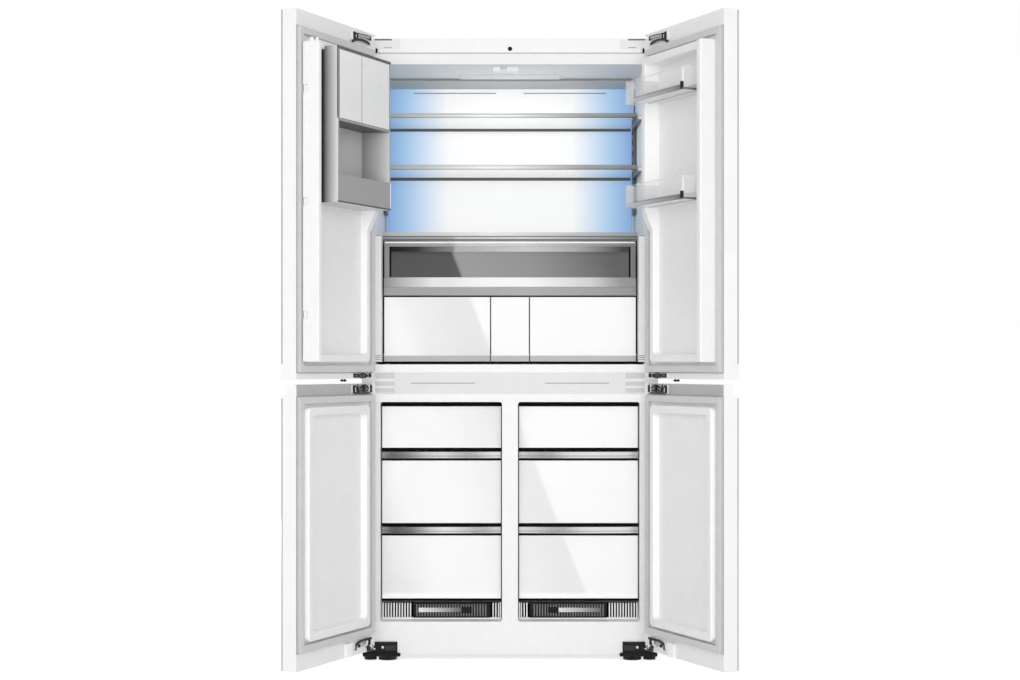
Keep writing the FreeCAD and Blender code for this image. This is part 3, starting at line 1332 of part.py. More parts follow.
def dispenser_covers():
    """Two light snap-in covers of the upper room."""
    h = (DISPENSER_DEPTH - COVER_THICKNESS, DISPENSER_DEPTH)
    z = (COVER_Z0 + COVER_EDGE_GAP, DISPENSER_Z1 - DISPENSER_WALL - COVER_EDGE_GAP)
    left = (DISPENSER_START + DISPENSER_WALL + COVER_EDGE_GAP, COVER_SPLIT - COVER_GAP / 2)
    right = (COVER_SPLIT + COVER_GAP / 2, DISPENSER_END - DISPENSER_WALL - COVER_EDGE_GAP)
    face = DISPENSER_DEPTH - SEAL_GAP - 0.1
    covers = [leaf(u, h, z) for u in (left, right)]
    return [rounded(cover, 1.0, lambda edge: edge.CenterOfMass.y > face) for cover in covers]


# Pieces on the upper right door, drawn on a left door and mirrored


def door_bins():
    """Two clear bins between the raised bars."""
    bins = []
    for level in BIN_LEVELS:
        z = (level, level + BIN_HEIGHT)
        outer = leaf((BIN_START, BIN_END), (PANEL_RISE, BIN_DEPTH), z)
        face = BIN_DEPTH - SEAL_GAP - 0.1
        outer = rounded(outer, BIN_RADIUS, lambda edge: runs_along(edge, UP) and edge.CenterOfMass.y > face)
        room = leaf(
            (BIN_START + BIN_WALL, BIN_END - BIN_WALL),
            (PANEL_RISE + BIN_WALL, BIN_DEPTH - BIN_WALL),
            (level + BIN_WALL, z[1] + 1),
        )
        inner_face = face - BIN_WALL
        room = rounded(
            room,
            BIN_RADIUS - BIN_WALL,
            lambda edge: runs_along(edge, UP) and edge.CenterOfMass.y > inner_face,
        )
        back = leaf((0, DOOR_WIDTH), (0, PANEL_RISE + BIN_WALL + 1), (level + BIN_REAR_HEIGHT, z[1] + 1))
        bins.append(outer.cut([room, back]))
    return bins


def bin_rails():
    """Metal strips along the bins' lower front edges."""
    rails = []
    for level in BIN_LEVELS:
        z = (level - BIN_RAIL_DROP, level - BIN_RAIL_DROP + BIN_RAIL_HEIGHT)
        u = (BIN_START + BIN_RADIUS / 2, BIN_END - BIN_RADIUS / 2)
        rail = leaf(u, (BIN_DEPTH, BIN_DEPTH + BIN_RAIL_THICKNESS), z)
        face = BIN_DEPTH + BIN_RAIL_THICKNESS - SEAL_GAP - 0.1
        rails.append(rounded(rail, 1.0, lambda edge: edge.CenterOfMass.y > face))
    return rails


def door_nodes(name, upper, lead, lead_height, extra, place):
    """Writes one door's skin, foam, inner panel and gasket, set in place by the given moves."""
    liner = door_liner(upper, lead, lead_height)
    pieces = {
        "skin": door_skin(upper),
        "foam": [door_foam(upper, lead, lead_height)],
        "liner": [joined([liner] + extra) if extra else liner],
        "gasket": [gasket(upper)],
    }
    for kind, solids in pieces.items():
        export(name + "_door_" + kind, [place(solid) for solid in solids])


def place_right(shape):
    """An open right door piece, from its twin on a closed left door."""
    return mirrored(opened(shape))


def build():
    os.makedirs("parts", exist_ok=True)
    for piece in (
        cabinet_shell,
        rear_panel,
        power_inlet,
        base_plate,
        rear_rollers,
        cabinet_insulation,
        fridge_liner,
        freezer_liners,
        top_strip,
        middle_beam,
        freezer_divider,
        plinth,
        top_hinges,
        middle_hinges,
        bottom_hinges,
        levelling_feet,
        condensing_unit,
        evaporator,
        evaporator_fan,
        air_duct_panel,
        ceiling_light,
        mullion_guide,
        glass_shelves,
        shelf_trims,
        crisper_frame,
        drawer_runners,
        water_tank,
        wide_drawer,
        wide_drawer_window,
        return_grilles,
        filter_cassettes,
    ):
        export(piece.__name__, piece())
    crisper = left_crisper()
    export("left_crisper", [crisper])
    export("right_crisper", [mirrored(crisper)])
    for level, front in zip(("lower", "middle", "upper"), FREEZER_FRONTS):
        drawer = freezer_drawer(front)
        export("left_" + level + "_freezer_drawer", drawer)
        export("right_" + level + "_freezer_drawer", [mirrored(solid) for solid in drawer])
    door_nodes("upper_left", True, LEAD_DYKE_LEFT, DYKE_LEAD_LEFT, mullion_ears(), opened)
    door_nodes("upper_right", True, LEAD_DYKE_RIGHT, DYKE_LEAD_RIGHT, [], place_right)
    door_nodes("lower_left", False, LEAD_DYKE_LOWER, DYKE_LOW, [], opened)
    door_nodes("lower_right", False, LEAD_DYKE_LOWER, DYKE_LOW, [], place_right)
    for piece in (flip_mullion, dispenser_housing, dispenser_covers):
        export(piece.__name__, [opened(solid) for solid in piece()])
    for piece in (door_bins, bin_rails):
        export(piece.__name__, [place_right(solid) for solid in piece()])


build()
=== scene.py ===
import bmesh
import bpy
import math
from mathutils import Matrix, Vector


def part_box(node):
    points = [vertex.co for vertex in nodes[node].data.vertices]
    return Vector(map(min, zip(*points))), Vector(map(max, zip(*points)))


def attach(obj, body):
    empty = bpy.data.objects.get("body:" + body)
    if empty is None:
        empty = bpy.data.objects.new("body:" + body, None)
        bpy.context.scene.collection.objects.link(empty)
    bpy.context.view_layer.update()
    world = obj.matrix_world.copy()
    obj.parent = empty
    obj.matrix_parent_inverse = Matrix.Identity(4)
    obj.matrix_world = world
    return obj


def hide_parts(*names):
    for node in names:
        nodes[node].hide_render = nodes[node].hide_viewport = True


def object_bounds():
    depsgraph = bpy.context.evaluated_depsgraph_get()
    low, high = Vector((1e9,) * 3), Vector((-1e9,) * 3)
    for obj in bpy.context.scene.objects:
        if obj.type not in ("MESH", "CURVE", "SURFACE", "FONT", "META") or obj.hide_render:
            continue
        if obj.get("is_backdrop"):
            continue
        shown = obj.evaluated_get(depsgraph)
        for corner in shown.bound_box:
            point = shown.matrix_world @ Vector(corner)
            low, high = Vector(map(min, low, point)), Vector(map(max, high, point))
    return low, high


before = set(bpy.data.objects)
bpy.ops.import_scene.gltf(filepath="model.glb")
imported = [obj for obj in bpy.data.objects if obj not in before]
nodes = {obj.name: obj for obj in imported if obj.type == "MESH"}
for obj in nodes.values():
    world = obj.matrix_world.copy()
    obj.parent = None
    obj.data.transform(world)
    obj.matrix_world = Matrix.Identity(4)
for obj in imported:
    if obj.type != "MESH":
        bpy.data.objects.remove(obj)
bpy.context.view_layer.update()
scene = bpy.context.scene
scene.view_settings.view_transform = "Standard"

# Places taken from the CAD frame, in metres
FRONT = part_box("top_strip")[0].y
CABINET_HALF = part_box("cabinet_shell")[1].x
CABINET_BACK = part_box("cabinet_shell")[1].y
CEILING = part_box("ceiling_light")[1].z

# The doors' gap for their seals, the place of their pins, and how far they stand open
SEAL_GAP = 0.012
PIVOT_X = 0.442
PIVOT_Y = -0.0455
OPEN_ANGLE = math.radians(115)

# Own frames: on the cabinet (x, depth behind its front plane, z), and on a door (u from its hinge
# edge, h inwards from its flange, z)
CABINET = Matrix.Translation((0, FRONT, 0))
LEFT_DOOR = (
    Matrix.Translation((-PIVOT_X, FRONT + PIVOT_Y, 0))
    @ Matrix.Rotation(-OPEN_ANGLE, 4, "Z")
    @ Matrix.Translation((PIVOT_X - CABINET_HALF, -SEAL_GAP - PIVOT_Y, 0))
)
MIRROR = Matrix.Scale(-1, 4, (1, 0, 0))
RIGHT_DOOR = MIRROR @ LEFT_DOOR
SIDES = (("left", CABINET), ("right", MIRROR @ CABINET))
DOORS = [
    (row + "_" + side, row, side, place)
    for row in ("upper", "lower")
    for side, place in (("left", LEFT_DOOR), ("right", RIGHT_DOOR))
]

# Camera of the photograph
EYE_DISTANCE = 5.35
EYE_HEIGHT = 0.899
LENS = 61.8
SENSOR = 36
HORIZON_SHIFT = 0.0255


def srgb(level, green=None, blue=None):
    """Linear colour from 0 to 255 display levels."""
    levels = (level, level if green is None else green, level if blue is None else blue)
    return tuple(
        v / 255 / 12.92 if v / 255 <= 0.04045 else ((v / 255 + 0.055) / 1.055) ** 2.4
        for v in levels
    )


# Materials
COAT_ROUGHNESS = 0.03
CLOUD_FROM, CLOUD_TO = 0.3, 0.7
RELIEF = 0.0005


def feed(tree, socket, value):
    """Sets an input to a value, or links an output to it."""
    if isinstance(value, bpy.types.NodeSocket):
        tree.links.new(value, socket)
    else:
        socket.default_value = value


def add(tree, kind, **values):
    """A new shader node with its inputs fed, whose names have _ for a space."""
    node = tree.nodes.new("ShaderNode" + kind)
    for name, value in values.items():
        feed(tree, node.inputs[name.replace("_", " ")], value)
    return node


def material(name, level, roughness, metallic=0.0, tint=0.015, grain=40.0, bump=0.02, pore=900.0,
             stretch=(1, 1, 1), coat=0.0, coat_ior=1.5, ior=1.5, specular=0.5, alpha=1.0,
             wear=0.06):
    """A principled material whose colour, roughness and relief vary a little over the surface.

    Its display level is one grey or three levels."""
    colour = srgb(*level) if isinstance(level, tuple) else srgb(level)
    made = bpy.data.materials.new(name)
    made.use_nodes = True
    tree = made.node_tree
    coords = add(tree, "TexCoord")
    mapping = add(tree, "Mapping", Vector=coords.outputs["Object"], Scale=stretch)
    spots = mapping.outputs["Vector"]
    cloud = add(tree, "TexNoise", Vector=spots, Scale=grain, Detail=4).outputs["Fac"]
    ramp = add(tree, "ValToRGB", Fac=cloud)
    steps = ramp.color_ramp.elements
    steps[0].position = CLOUD_FROM
    steps[1].position = CLOUD_TO
    steps[0].color = tuple(c * (1 - tint) for c in colour) + (1,)
    steps[1].color = tuple(min(1, c * (1 + tint)) for c in colour) + (1,)
    smooth, rough = max(0.02, roughness - wear), min(1, roughness + wear)
    spread = add(tree, "MapRange", Value=cloud, To_Min=smooth, To_Max=rough)
    pores = add(tree, "TexNoise", Vector=spots, Scale=pore, Detail=2).outputs["Fac"]
    relief = add(tree, "Bump", Height=pores, Strength=bump, Distance=RELIEF)
    for socket, value in (
        ("Base Color", ramp.outputs["Color"]), ("Roughness", spread.outputs["Result"]),
        ("Normal", relief.outputs["Normal"]), ("Metallic", metallic), ("IOR", ior),
        ("Specular IOR Level", specular), ("Alpha", alpha), ("Coat Weight", coat),
        ("Coat IOR", coat_ior), ("Coat Roughness", COAT_ROUGHNESS),
    ):
        feed(tree, tree.nodes["Principled BSDF"].inputs[socket], value)
    return made


def brushed(name, level, roughness, metallic, tint=0.05, bump=0.04):
    """A grey metal with fine lines along X."""
    return material(name, level, roughness, metallic=metallic, tint=tint, grain=30, bump=bump,
                    pore=300, stretch=(1, 40, 40))


def graded(made, direction, stops):
    """Gives a material a run of colours along a direction, as (distance, colour) stops."""
    tree = made.node_tree
    along = add(tree, "VectorMath")
    along.operation = "DOT_PRODUCT"
    feed(tree, along.inputs[0], add(tree, "TexCoord").outputs["Object"])
    feed(tree, along.inputs[1], direction)
    first, last = stops[0][0], stops[-1][0]
    span = add(tree, "MapRange", Value=along.outputs["Value"], From_Min=first, From_Max=last)
    ramp = add(tree, "ValToRGB", Fac=span.outputs["Result"])
    ramp.color_ramp.interpolation = "LINEAR"
    steps = ramp.color_ramp.elements
    for n, (distance, colour) in enumerate(stops):
        place = (distance - first) / (last - first)
        step = steps[n] if n < 2 else steps.new(place)
        step.position = place
        step.color = colour + (1,)
    feed(tree, tree.nodes["Principled BSDF"].inputs["Base Color"], ramp.outputs["Color"])
    return ramp.outputs["Color"]


def shaded(made, direction, stops, start=0.0):
    """Gives a material a run of greys, as (distance from a start, display level) stops."""
    graded(made, direction, [(start + distance, srgb(level)) for distance, level in stops])


def glowing(made, colours, strength):
    """Lets a graded material glow in its own colours, a painted glow, with less left for the light
    on it.
    """
    tree = made.node_tree
    dim = add(tree, "VectorMath")
    dim.operation = "SCALE"
    feed(tree, dim.inputs[0], colours)
    feed(tree, dim.inputs["Scale"], 1 - strength)
    shader = tree.nodes["Principled BSDF"]
    feed(tree, shader.inputs["Emission Color"], colours)
    feed(tree, shader.inputs["Emission Strength"], strength)
    feed(tree, shader.inputs["Base Color"], dim.outputs["Vector"])


WHITE_PAINT = material("white_paint", 246, 0.32, pore=1400, bump=0.03, coat=0.2)
WHITE_TRIM = material("white_trim", 246, 0.4, pore=1100, bump=0.03)
DOOR_WHITE = material("door_white", 247, 0.2, coat=0.4, grain=12, bump=0.01)
OUTER_PANE = material("outer_pane", 228, 0.16, coat=0.6, tint=0.008, grain=6, bump=0.004, wear=0.03)
LINER_WHITE = material("liner_white", 240, 0.38, pore=700, bump=0.04)
PANEL_WHITE = material("panel_white", 242, 0.4, pore=700, bump=0.04)
FRONT_WHITE = material("front_white", 254, 0.04, grain=9, bump=0.001, coat=1.0, coat_ior=2.1,
                       wear=0.01)
TUB_WHITE = material("tub_white", 232, 0.3, pore=500)
CAP_GREY = material("cap_grey", 184, 0.45, pore=800, bump=0.04)
PLATE_GREY = material("plate_grey", 206, 0.42, pore=800, bump=0.04)
CEILING_GREY = material("ceiling_grey", 230, 0.38, pore=700, bump=0.04)
BEAM_GREY = material("beam_grey", 228, 0.42, pore=800, bump=0.04)
DUCT_GREY = material("duct_grey", 184, 0.42, pore=800, bump=0.04)
SEAL_GREY = material("seal_grey", 212, 0.6, pore=600, bump=0.08)
SEAL_LINE = material("seal_line", 150, 0.7, pore=600, bump=0.05)
EDGE_GREY = material("edge_grey", 150, 0.3, tint=0.05)
BRUSHED = brushed("brushed_metal", 246, 0.18, 0.3, tint=0.04)
TRIM_METAL = brushed("trim_metal", 217, 0.3, 0.5)
RAIL_METAL = brushed("rail_metal", 226, 0.2, 1.0)
BRUSHED_MID = brushed("brushed_mid", 168, 0.3, 0.3, tint=0.06)
FRAME_METAL = brushed("frame_metal", 190, 0.3, 0.2)
BASE_METAL = brushed("base_metal", 193, 0.3, 0.2)
BRUSHED_DARK = brushed("brushed_dark", 112, 0.36, 1.0, tint=0.1, bump=0.05)
SHELF_STRIP = brushed("shelf_strip", 217, 0.3, 0.5)
STRIP_GROOVE = brushed("strip_groove", 186, 0.3, 0.5)
STRIP_FOOT = brushed("strip_foot", 160, 0.3, 0.5)
BIN_METAL = brushed("bin_metal", 180, 0.25, 0.6, bump=0.02)
HINGE_STEEL = material("hinge_steel", 176, 0.34, metallic=0.8, tint=0.1, pore=500, bump=0.06)
HINGE_DARK = material("hinge_dark", 36, 0.4, metallic=0.3, tint=0.15, pore=500, bump=0.06,
                      specular=0.2)
HINGE_PALE = material("hinge_pale", 236, 0.4, tint=0.02, pore=700, bump=0.04)
BLACK = material("black_plastic", 16, 0.42, tint=0.2, pore=700, bump=0.1, specular=0.2)
FOOT_BLACK = material("foot_black", 14, 0.3, tint=0.25, grain=60, pore=500, bump=0.12,
                      specular=0.22)
FOOT_GREY = material("foot_grey", 46, 0.35, tint=0.2, grain=60, pore=500, bump=0.1, specular=0.3)
# Black for gaps, slots and the space behind grilles: painted shade
GAP_SHADE = material("gap_shade_black", 10, 0.8, tint=0.2, pore=500, bump=0.05, specular=0.1)
FRAME_GREY = material("dispenser_frame", 164, 0.36, bump=0.03)
SHELL_GREY = material("dispenser_shell", 180, 0.32, bump=0.03)
NICHE_GREY = material("niche_grey", 194, 0.36, bump=0.03)
NICHE_ROOF = material("niche_roof", 84, 0.4, bump=0.03)
NICHE_SIDE = material("niche_side", 160, 0.36, bump=0.03)
SEAM_DARK = material("seam_dark", 60, 0.4, bump=0.03)
FOOT_PALE = material("dispenser_foot", 206, 0.36, bump=0.03)
# Highlight white: painted highlights on slopes, lines and slats, and the white of the door stops
HIGHLIGHT = material("white_and_painted_highlight", 254, 0.3, pore=700)
PALE_COVER = material("cover_pale", 241, 0.3, coat=0.2)
CASSETTE = material("cassette_dark", 24, 0.45, tint=0.15, pore=700, bump=0.08, specular=0.2)
CASSETTE_SLAT = material("cassette_slat", 28, 0.45, tint=0.1, pore=700, bump=0.08, specular=0.2)
BLANK_PLATE = material("blank_plate", 196, 0.4, metallic=0.3, tint=0.08, pore=500)
ZINC = material("zinc_sheet", 176, 0.42, metallic=0.6, tint=0.06, grain=90, pore=300, bump=0.06)
REAR_SHEET = material("rear_sheet", 206, 0.42, metallic=0.2, tint=0.02, grain=160, pore=300,
                      bump=0.05)
FINS = material("fin_metal", 200, 0.35, metallic=1.0, tint=0.06)
FOAM = material("foam", (232, 220, 184), 0.9, tint=0.06, pore=300, bump=0.3)
LAMP = material("lamp_cover", 228, 0.4, pore=400)
CLEAR_PLASTIC = material("clear_plastic", 250, 0.08, alpha=0.12, tint=0.01, bump=0.005, wear=0.03)
NOSE_CLEAR = material("nose_plastic", 252, 0.1, alpha=0.22, tint=0.01, bump=0.005, wear=0.03)
FROSTED_HIGHLIGHT = material("frosted_plastic_highlight", 252, 0.3, alpha=0.7, tint=0.01, pore=500)
SHELF_GLASS = material("shelf_glass", (226, 238, 240), 0.05, alpha=0.16, tint=0.01, bump=0.002,
                       wear=0.02)
SMOKED = material("smoked_glass", (80, 81, 83), 0.03, ior=2.2, specular=1.0, tint=0.03, bump=0.001,
                  wear=0.01)
WINDOW_SHADOW_AND_HIGHLIGHT = material("window_painted_shadow_and_highlight", 16, 0.3, specular=0.2, tint=0.1)
DUCT = material("painted_glow_panel", 252, 0.35)

# The rear panel is white in the middle and blue towards both sides, lit along its edges:
# that light is a painted glow, graded into the panel's colour and its emission
ACROSS = (1, 0, 0)
UP = (0, 0, 1)
GLOW = 0.7
fade = [
    (0.398, srgb(142, 180, 230)), (0.337, srgb(172, 208, 242)), (0.268, srgb(220, 233, 250)),
    (0.205, srgb(252)),
]
mirrored = [(-away, colour) for away, colour in fade]
glowing(DUCT, graded(DUCT, ACROSS, mirrored + fade[::-1]), GLOW)

# Painted shade: the dispenser's side is dark next to the door panel and pale towards its front
INWARDS = (LEFT_DOOR.to_3x3() @ Vector((0, 1, 0))).normalized()
DOOR_PLANE = INWARDS.dot(LEFT_DOOR.translation)
shaded(SHELL_GREY, INWARDS, (
    (0.04, 52), (0.048, 58), (0.055, 122), (0.07, 172), (0.09, 216), (0.095, 208),
), DOOR_PLANE)
# The niche's sides likewise: painted shade
shaded(NICHE_SIDE, INWARDS, ((0.017, 130), (0.06, 168), (0.095, 202)), DOOR_PLANE)

# Painted reflection: the bins' metal strips darken towards the door's free edge
ALONG = (RIGHT_DOOR.to_3x3() @ Vector((1, 0, 0))).normalized()
HINGE_EDGE = ALONG.dot(RIGHT_DOOR.translation)
shaded(BIN_METAL, ALONG, ((0.1, 236), (0.2, 214), (0.34, 168), (0.39, 120)), HINGE_EDGE)

# Painted reflections: the drawers' metal strips darken towards their ends, and so does the top of
# the wide one's window, whose frame has a painted step where the cards' reflected edge falls
shaded(BRUSHED, ACROSS, ((-0.38, 165), (-0.24, 248), (0.06, 244), (0.25, 216), (0.34, 162)))
shaded(TRIM_METAL, ACROSS, ((-0.36, 190), (-0.06, 230), (0.34, 166)))
shaded(FRAME_METAL, ACROSS, ((-0.36, 144), (-0.18, 160), (-0.16, 192), (0.04, 200), (0.36, 124)))
shaded(BRUSHED_MID, ACROSS, ((-0.39, 164), (0.04, 172), (0.39, 152)))
shaded(RAIL_METAL, ACROSS, ((-0.31, 184), (-0.2, 248), (0.0, 234), (0.31, 226)))
# The band over the window's top: a painted shadow on the left, a painted highlight right of a step
shaded(WINDOW_SHADOW_AND_HIGHLIGHT, ACROSS, (
    (-0.37, 14), (-0.29, 45), (-0.175, 132), (-0.17, 176), (0.06, 202), (0.2, 172), (0.35, 66),
))

# Painted reflection: the shelves' strips shine left of the middle
shaded(SHELF_STRIP, ACROSS, ((-0.28, 194), (-0.08, 244), (0.0, 238), (0.24, 154), (0.36, 140)))
shaded(STRIP_GROOVE, ACROSS, ((-0.36, 184), (0.0, 184), (0.36, 158)))
shaded(STRIP_FOOT, ACROSS, ((-0.3, 136), (-0.08, 160), (0.02, 150), (0.26, 88)))

# Painted reflection: each filter cassette's blank plate shines at its left end
shaded(BLANK_PLATE, ACROSS, ((-0.283, 240), (-0.15, 96), (0.134, 240), (0.283, 96)))

# Painted shade: the wide drawer's window is darker at its top
WINDOW_LOW, WINDOW_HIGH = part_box("wide_drawer_window")
shaded(SMOKED, UP, (
    (WINDOW_LOW.z, 84), (WINDOW_HIGH.z - 0.03, 80), (WINDOW_HIGH.z - 0.012, 48),
    (WINDOW_HIGH.z, 40),
))

LOOKS = {}
for look, names in (
    (WHITE_PAINT, "cabinet_shell"),
    (REAR_SHEET, "rear_panel"),
    (ZINC, "base_plate"),
    (BLACK, "power_inlet rear_rollers condensing_unit evaporator_fan"),
    (FINS, "evaporator"),
    (FOAM, "cabinet_insulation"),
    (LINER_WHITE, "fridge_liner freezer_liners crisper_frame"),
    (WHITE_TRIM, "top_strip middle_beam freezer_divider plinth mullion_guide drawer_runners"),
    (WHITE_TRIM, "flip_mullion"),
    (HINGE_PALE, "top_hinges middle_hinges"),
    (FOOT_BLACK, "bottom_hinges levelling_feet"),
    (DUCT, "air_duct_panel"),
    (LAMP, "ceiling_light"),
    (SHELF_GLASS, "glass_shelves"),
    (TRIM_METAL, "shelf_trims"),
    (FRONT_WHITE, "water_tank left_crisper right_crisper"),
    (BRUSHED_MID, "wide_drawer"),
    (SMOKED, "wide_drawer_window"),
    # The grilles' slats take the highlight white: painted light against the shade under the drawers
    (HIGHLIGHT, "return_grilles"),
    (CASSETTE, "filter_cassettes"),
    (SHELL_GREY, "dispenser_housing"),
    (PALE_COVER, "dispenser_covers"),
    (CLEAR_PLASTIC, "door_bins"),
    (BIN_METAL, "bin_rails"),
):
    for name in names.split():
        LOOKS[name] = look
for door, row, side, place in DOORS:
    LOOKS[door + "_door_skin"] = DOOR_WHITE
    LOOKS[door + "_door_foam"] = FOAM
    LOOKS[door + "_door_liner"] = PANEL_WHITE
    LOOKS[door + "_door_gasket"] = SEAL_GREY
FREEZER_DRAWERS = [
    (f"{side}_{level}_freezer_drawer", level)
    for side in ("left", "right")
    for level in ("lower", "middle", "upper")
]
for name, level in FREEZER_DRAWERS:
    LOOKS[name] = FRONT_WHITE
for name, obj in nodes.items():
    obj.data.materials.clear()
    obj.data.materials.append(LOOKS[name])


def repaint(name, look, test, place=CABINET):
    """Gives another material to the faces of a CAD node whose centre and normal pass a test.

    The test gets both in an own frame: x or u, depth or h, and z."""
    mesh = nodes[name].data
    mesh.materials.append(look)
    index = len(mesh.materials) - 1
    to_own = place.inverted()
    turn = to_own.to_3x3()
    for face in mesh.polygons:
        if test(to_own @ face.center, turn @ face.normal):
            face.material_index = index


# Second materials on CAD nodes. Limits lie a little off the planes of the solids, and a normal
# counts as facing a way from 0.5, as a side from 0.6, as square to it from 0.9
HAIR = 0.0001
NEAR = 0.0005
FACING = 0.5
SIDEWAYS = 0.6
SQUARE = 0.9
STRAP_FROM, STRAP_EYE, STRAP_HEAD, STRAP_TO = 0.021, 0.049, 0.118, 0.147
OUTER_FACE = -0.049
for door, row, side, place in DOORS:
    skin = door + "_door_skin"
    repaint(skin, OUTER_PANE, lambda c, n: c.y < OUTER_FACE + NEAR, place)
    repaint(skin, HINGE_PALE, lambda c, n: STRAP_FROM < c.x < STRAP_TO and c.y > -HAIR, place)
    repaint(skin, HINGE_STEEL, lambda c, n: STRAP_EYE < c.x < STRAP_HEAD and c.y > HAIR, place)

WINDOW_SUNK = 0.002
WIDE_FACE = WINDOW_LOW.y - FRONT - WINDOW_SUNK
WIDE_LOW, WIDE_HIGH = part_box("wide_drawer")
WIDE_FRAME = 0.012
DARK_BAR_TOP = WIDE_LOW.z + 0.0255
LIGHT_BAR_TOP = WIDE_LOW.z + 0.0545
SHELVES_FROM = 1.45
SHELF_REAR = 0.4
for name, look, test in (
    ("wide_drawer", TUB_WHITE, lambda c, n: c.y > WIDE_FACE + WIDE_FRAME + HAIR),
    ("wide_drawer", BRUSHED, lambda c, n: (
        c.y < WIDE_FACE + HAIR and DARK_BAR_TOP < c.z < LIGHT_BAR_TOP
    )),
    ("wide_drawer", FRAME_METAL, lambda c, n: (
        c.y < WIDE_FACE + WIDE_FRAME - HAIR and c.z > LIGHT_BAR_TOP + NEAR
    )),
    ("shelf_trims", SHELF_STRIP, lambda c, n: c.z > SHELVES_FROM),
    ("shelf_trims", BRUSHED_DARK, lambda c, n: c.y > SHELF_REAR),
):
    repaint(name, look, test)

FRONT_PLATE = 0.006
PLATE_BACK = WIDE_FACE + FRONT_PLATE
BASE_STRIP = 0.0235
LOWER_DRAWERS = ("left_crisper", "right_crisper", "water_tank")
for name in LOWER_DRAWERS:
    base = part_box(name)[0].z + BASE_STRIP
    repaint(name, TUB_WHITE, lambda c, n: c.y > PLATE_BACK + 2 * HAIR)
    repaint(name, BASE_METAL, lambda c, n: c.z < base and c.y < PLATE_BACK)
FREEZER_FACE = 0.042
RAIL_HEIGHT = 0.021
RAIL_GAP = 0.006
for name, level in FREEZER_DRAWERS:
    rail_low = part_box(name)[1].z - RAIL_HEIGHT
    repaint(name, TUB_WHITE, lambda c, n: c.y > FREEZER_FACE + FRONT_PLATE + 2 * HAIR)
    # The band below each rail is black: painted shade in the gap
    if level != "upper":
        repaint(name, GAP_SHADE, lambda c, n: rail_low - RAIL_GAP < c.z < rail_low - 2 * HAIR)
        repaint(name, RAIL_METAL, lambda c, n: c.z > rail_low - HAIR)

NICHE_LOW, NICHE_HIGH = 1.44, 1.59
NICHE_FROM, NICHE_WALL, NICHE_TO = 0.08, 0.13, 0.38
NICHE_SLACK = 0.001
FOOT_BELOW = 0.05
DISPENSER_FACE = 0.095


def in_niche(c):
    """Whether a point lies at the height of the dispenser's niche."""
    return NICHE_LOW - NICHE_SLACK < c.z < NICHE_HIGH + NICHE_SLACK


# The niche's roof takes the darkest grey and its sides a graded one: painted shade
for look, test in (
    (FRAME_GREY, lambda c, n: c.y > DISPENSER_FACE - NEAR),
    (NICHE_GREY, lambda c, n: (
        in_niche(c) and NICHE_FROM < c.x < NICHE_TO and c.y < DISPENSER_FACE - NEAR
    )),
    (NICHE_SIDE, lambda c, n: in_niche(c) and n.x > SIDEWAYS and c.x < NICHE_WALL),
    (NICHE_ROOF, lambda c, n: n.z < -FACING and abs(c.z - NICHE_HIGH) < NICHE_SLACK),
    (FOOT_PALE, lambda c, n: n.z < -FACING and c.z < NICHE_LOW - FOOT_BELOW),
):
    repaint("dispenser_housing", look, test, LEFT_DOOR)

LEDGE_X = 0.4125
LEDGE_FROM = 0.1
LEDGE_LOW, LEDGE_HIGH = 1.4, 1.7
GLASS_FROM = 1.35
repaint("middle_beam", BEAM_GREY, lambda c, n: c.y > NEAR and n.y < -FACING)
repaint("fridge_liner", BRUSHED_DARK, lambda c, n: (
    abs(c.x) < LEDGE_X and c.y > LEDGE_FROM and LEDGE_LOW < c.z < LEDGE_HIGH and abs(n.y) < SQUARE
))
repaint("glass_shelves", SEAM_DARK, lambda c, n: abs(n.x) > SQUARE and c.z > GLASS_FROM)
PANEL_TOP = 1.7
PANEL_STEP = 0.006
PANEL_EDGE = 0.13
# Painted highlight on the panels' slopes towards the free edge, and painted light under the roof
for door, row, side, place in DOORS:
    for test in (
        lambda c, n: n.z < -FACING and c.z > PANEL_TOP,
        lambda c, n: (
            n.x > SIDEWAYS and c.y > PANEL_STEP and (c.x < PANEL_EDGE or row == "lower")
        ),
    ):
        repaint(door + "_door_liner", HIGHLIGHT, test, place)
CASSETTE_FACE = 0.056
CASSETTE_SLATS = CASSETTE_FACE + 0.001
repaint("door_bins", FROSTED_HIGHLIGHT, lambda c, n: abs(n.z) > SQUARE)
# The liner's ceiling faces take a darker grey: painted shade
repaint("fridge_liner", CEILING_GREY, lambda c, n: n.z < -FACING and c.z > CEILING - 0.02)
repaint("filter_cassettes", CASSETTE_SLAT, lambda c, n: n.y < -SQUARE and c.y < CASSETTE_SLATS)
repaint("filter_cassettes", EDGE_GREY, lambda c, n: c.y > CASSETTE_SLATS)

# Bevels soften the CAD nodes' sharp edges
SOFT_EDGE = 0.0006
for name in (
    "top_strip", "middle_beam", "freezer_divider", "plinth", "top_hinges", "middle_hinges",
    "crisper_frame", "mullion_guide", "glass_shelves", "wide_drawer", *LOWER_DRAWERS,
):
    edge = nodes[name].modifiers.new("soft_edge", "BEVEL")
    edge.width = SOFT_EDGE
    edge.segments = 2
    edge.limit_method = "ANGLE"
    edge.harden_normals = True

# Ways of making added pieces
FINE = 0.0002


def piece(name, made, look, body, place, round_faces=False):
    """Turns a mesh in an own frame into an object that moves with a body."""
    made.transform(place)
    bmesh.ops.recalc_face_normals(made, faces=made.faces[:])
    mesh = bpy.data.meshes.new(name)
    made.to_mesh(mesh)
    made.free()
    for face in mesh.polygons:
        face.use_smooth = round_faces and len(face.vertices) == 4
    obj = bpy.data.objects.new(name, mesh)
    scene.collection.objects.link(obj)
    mesh.materials.append(look)
    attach(obj, body)
    return obj


def join(made, loops):
    """Joins each loop of vertices to the next with quads."""
    for one, other in zip(loops, loops[1:]):
        for n in range(len(one)):
            m = (n + 1) % len(one)
            made.faces.new((one[n], one[m], other[m], other[n]))


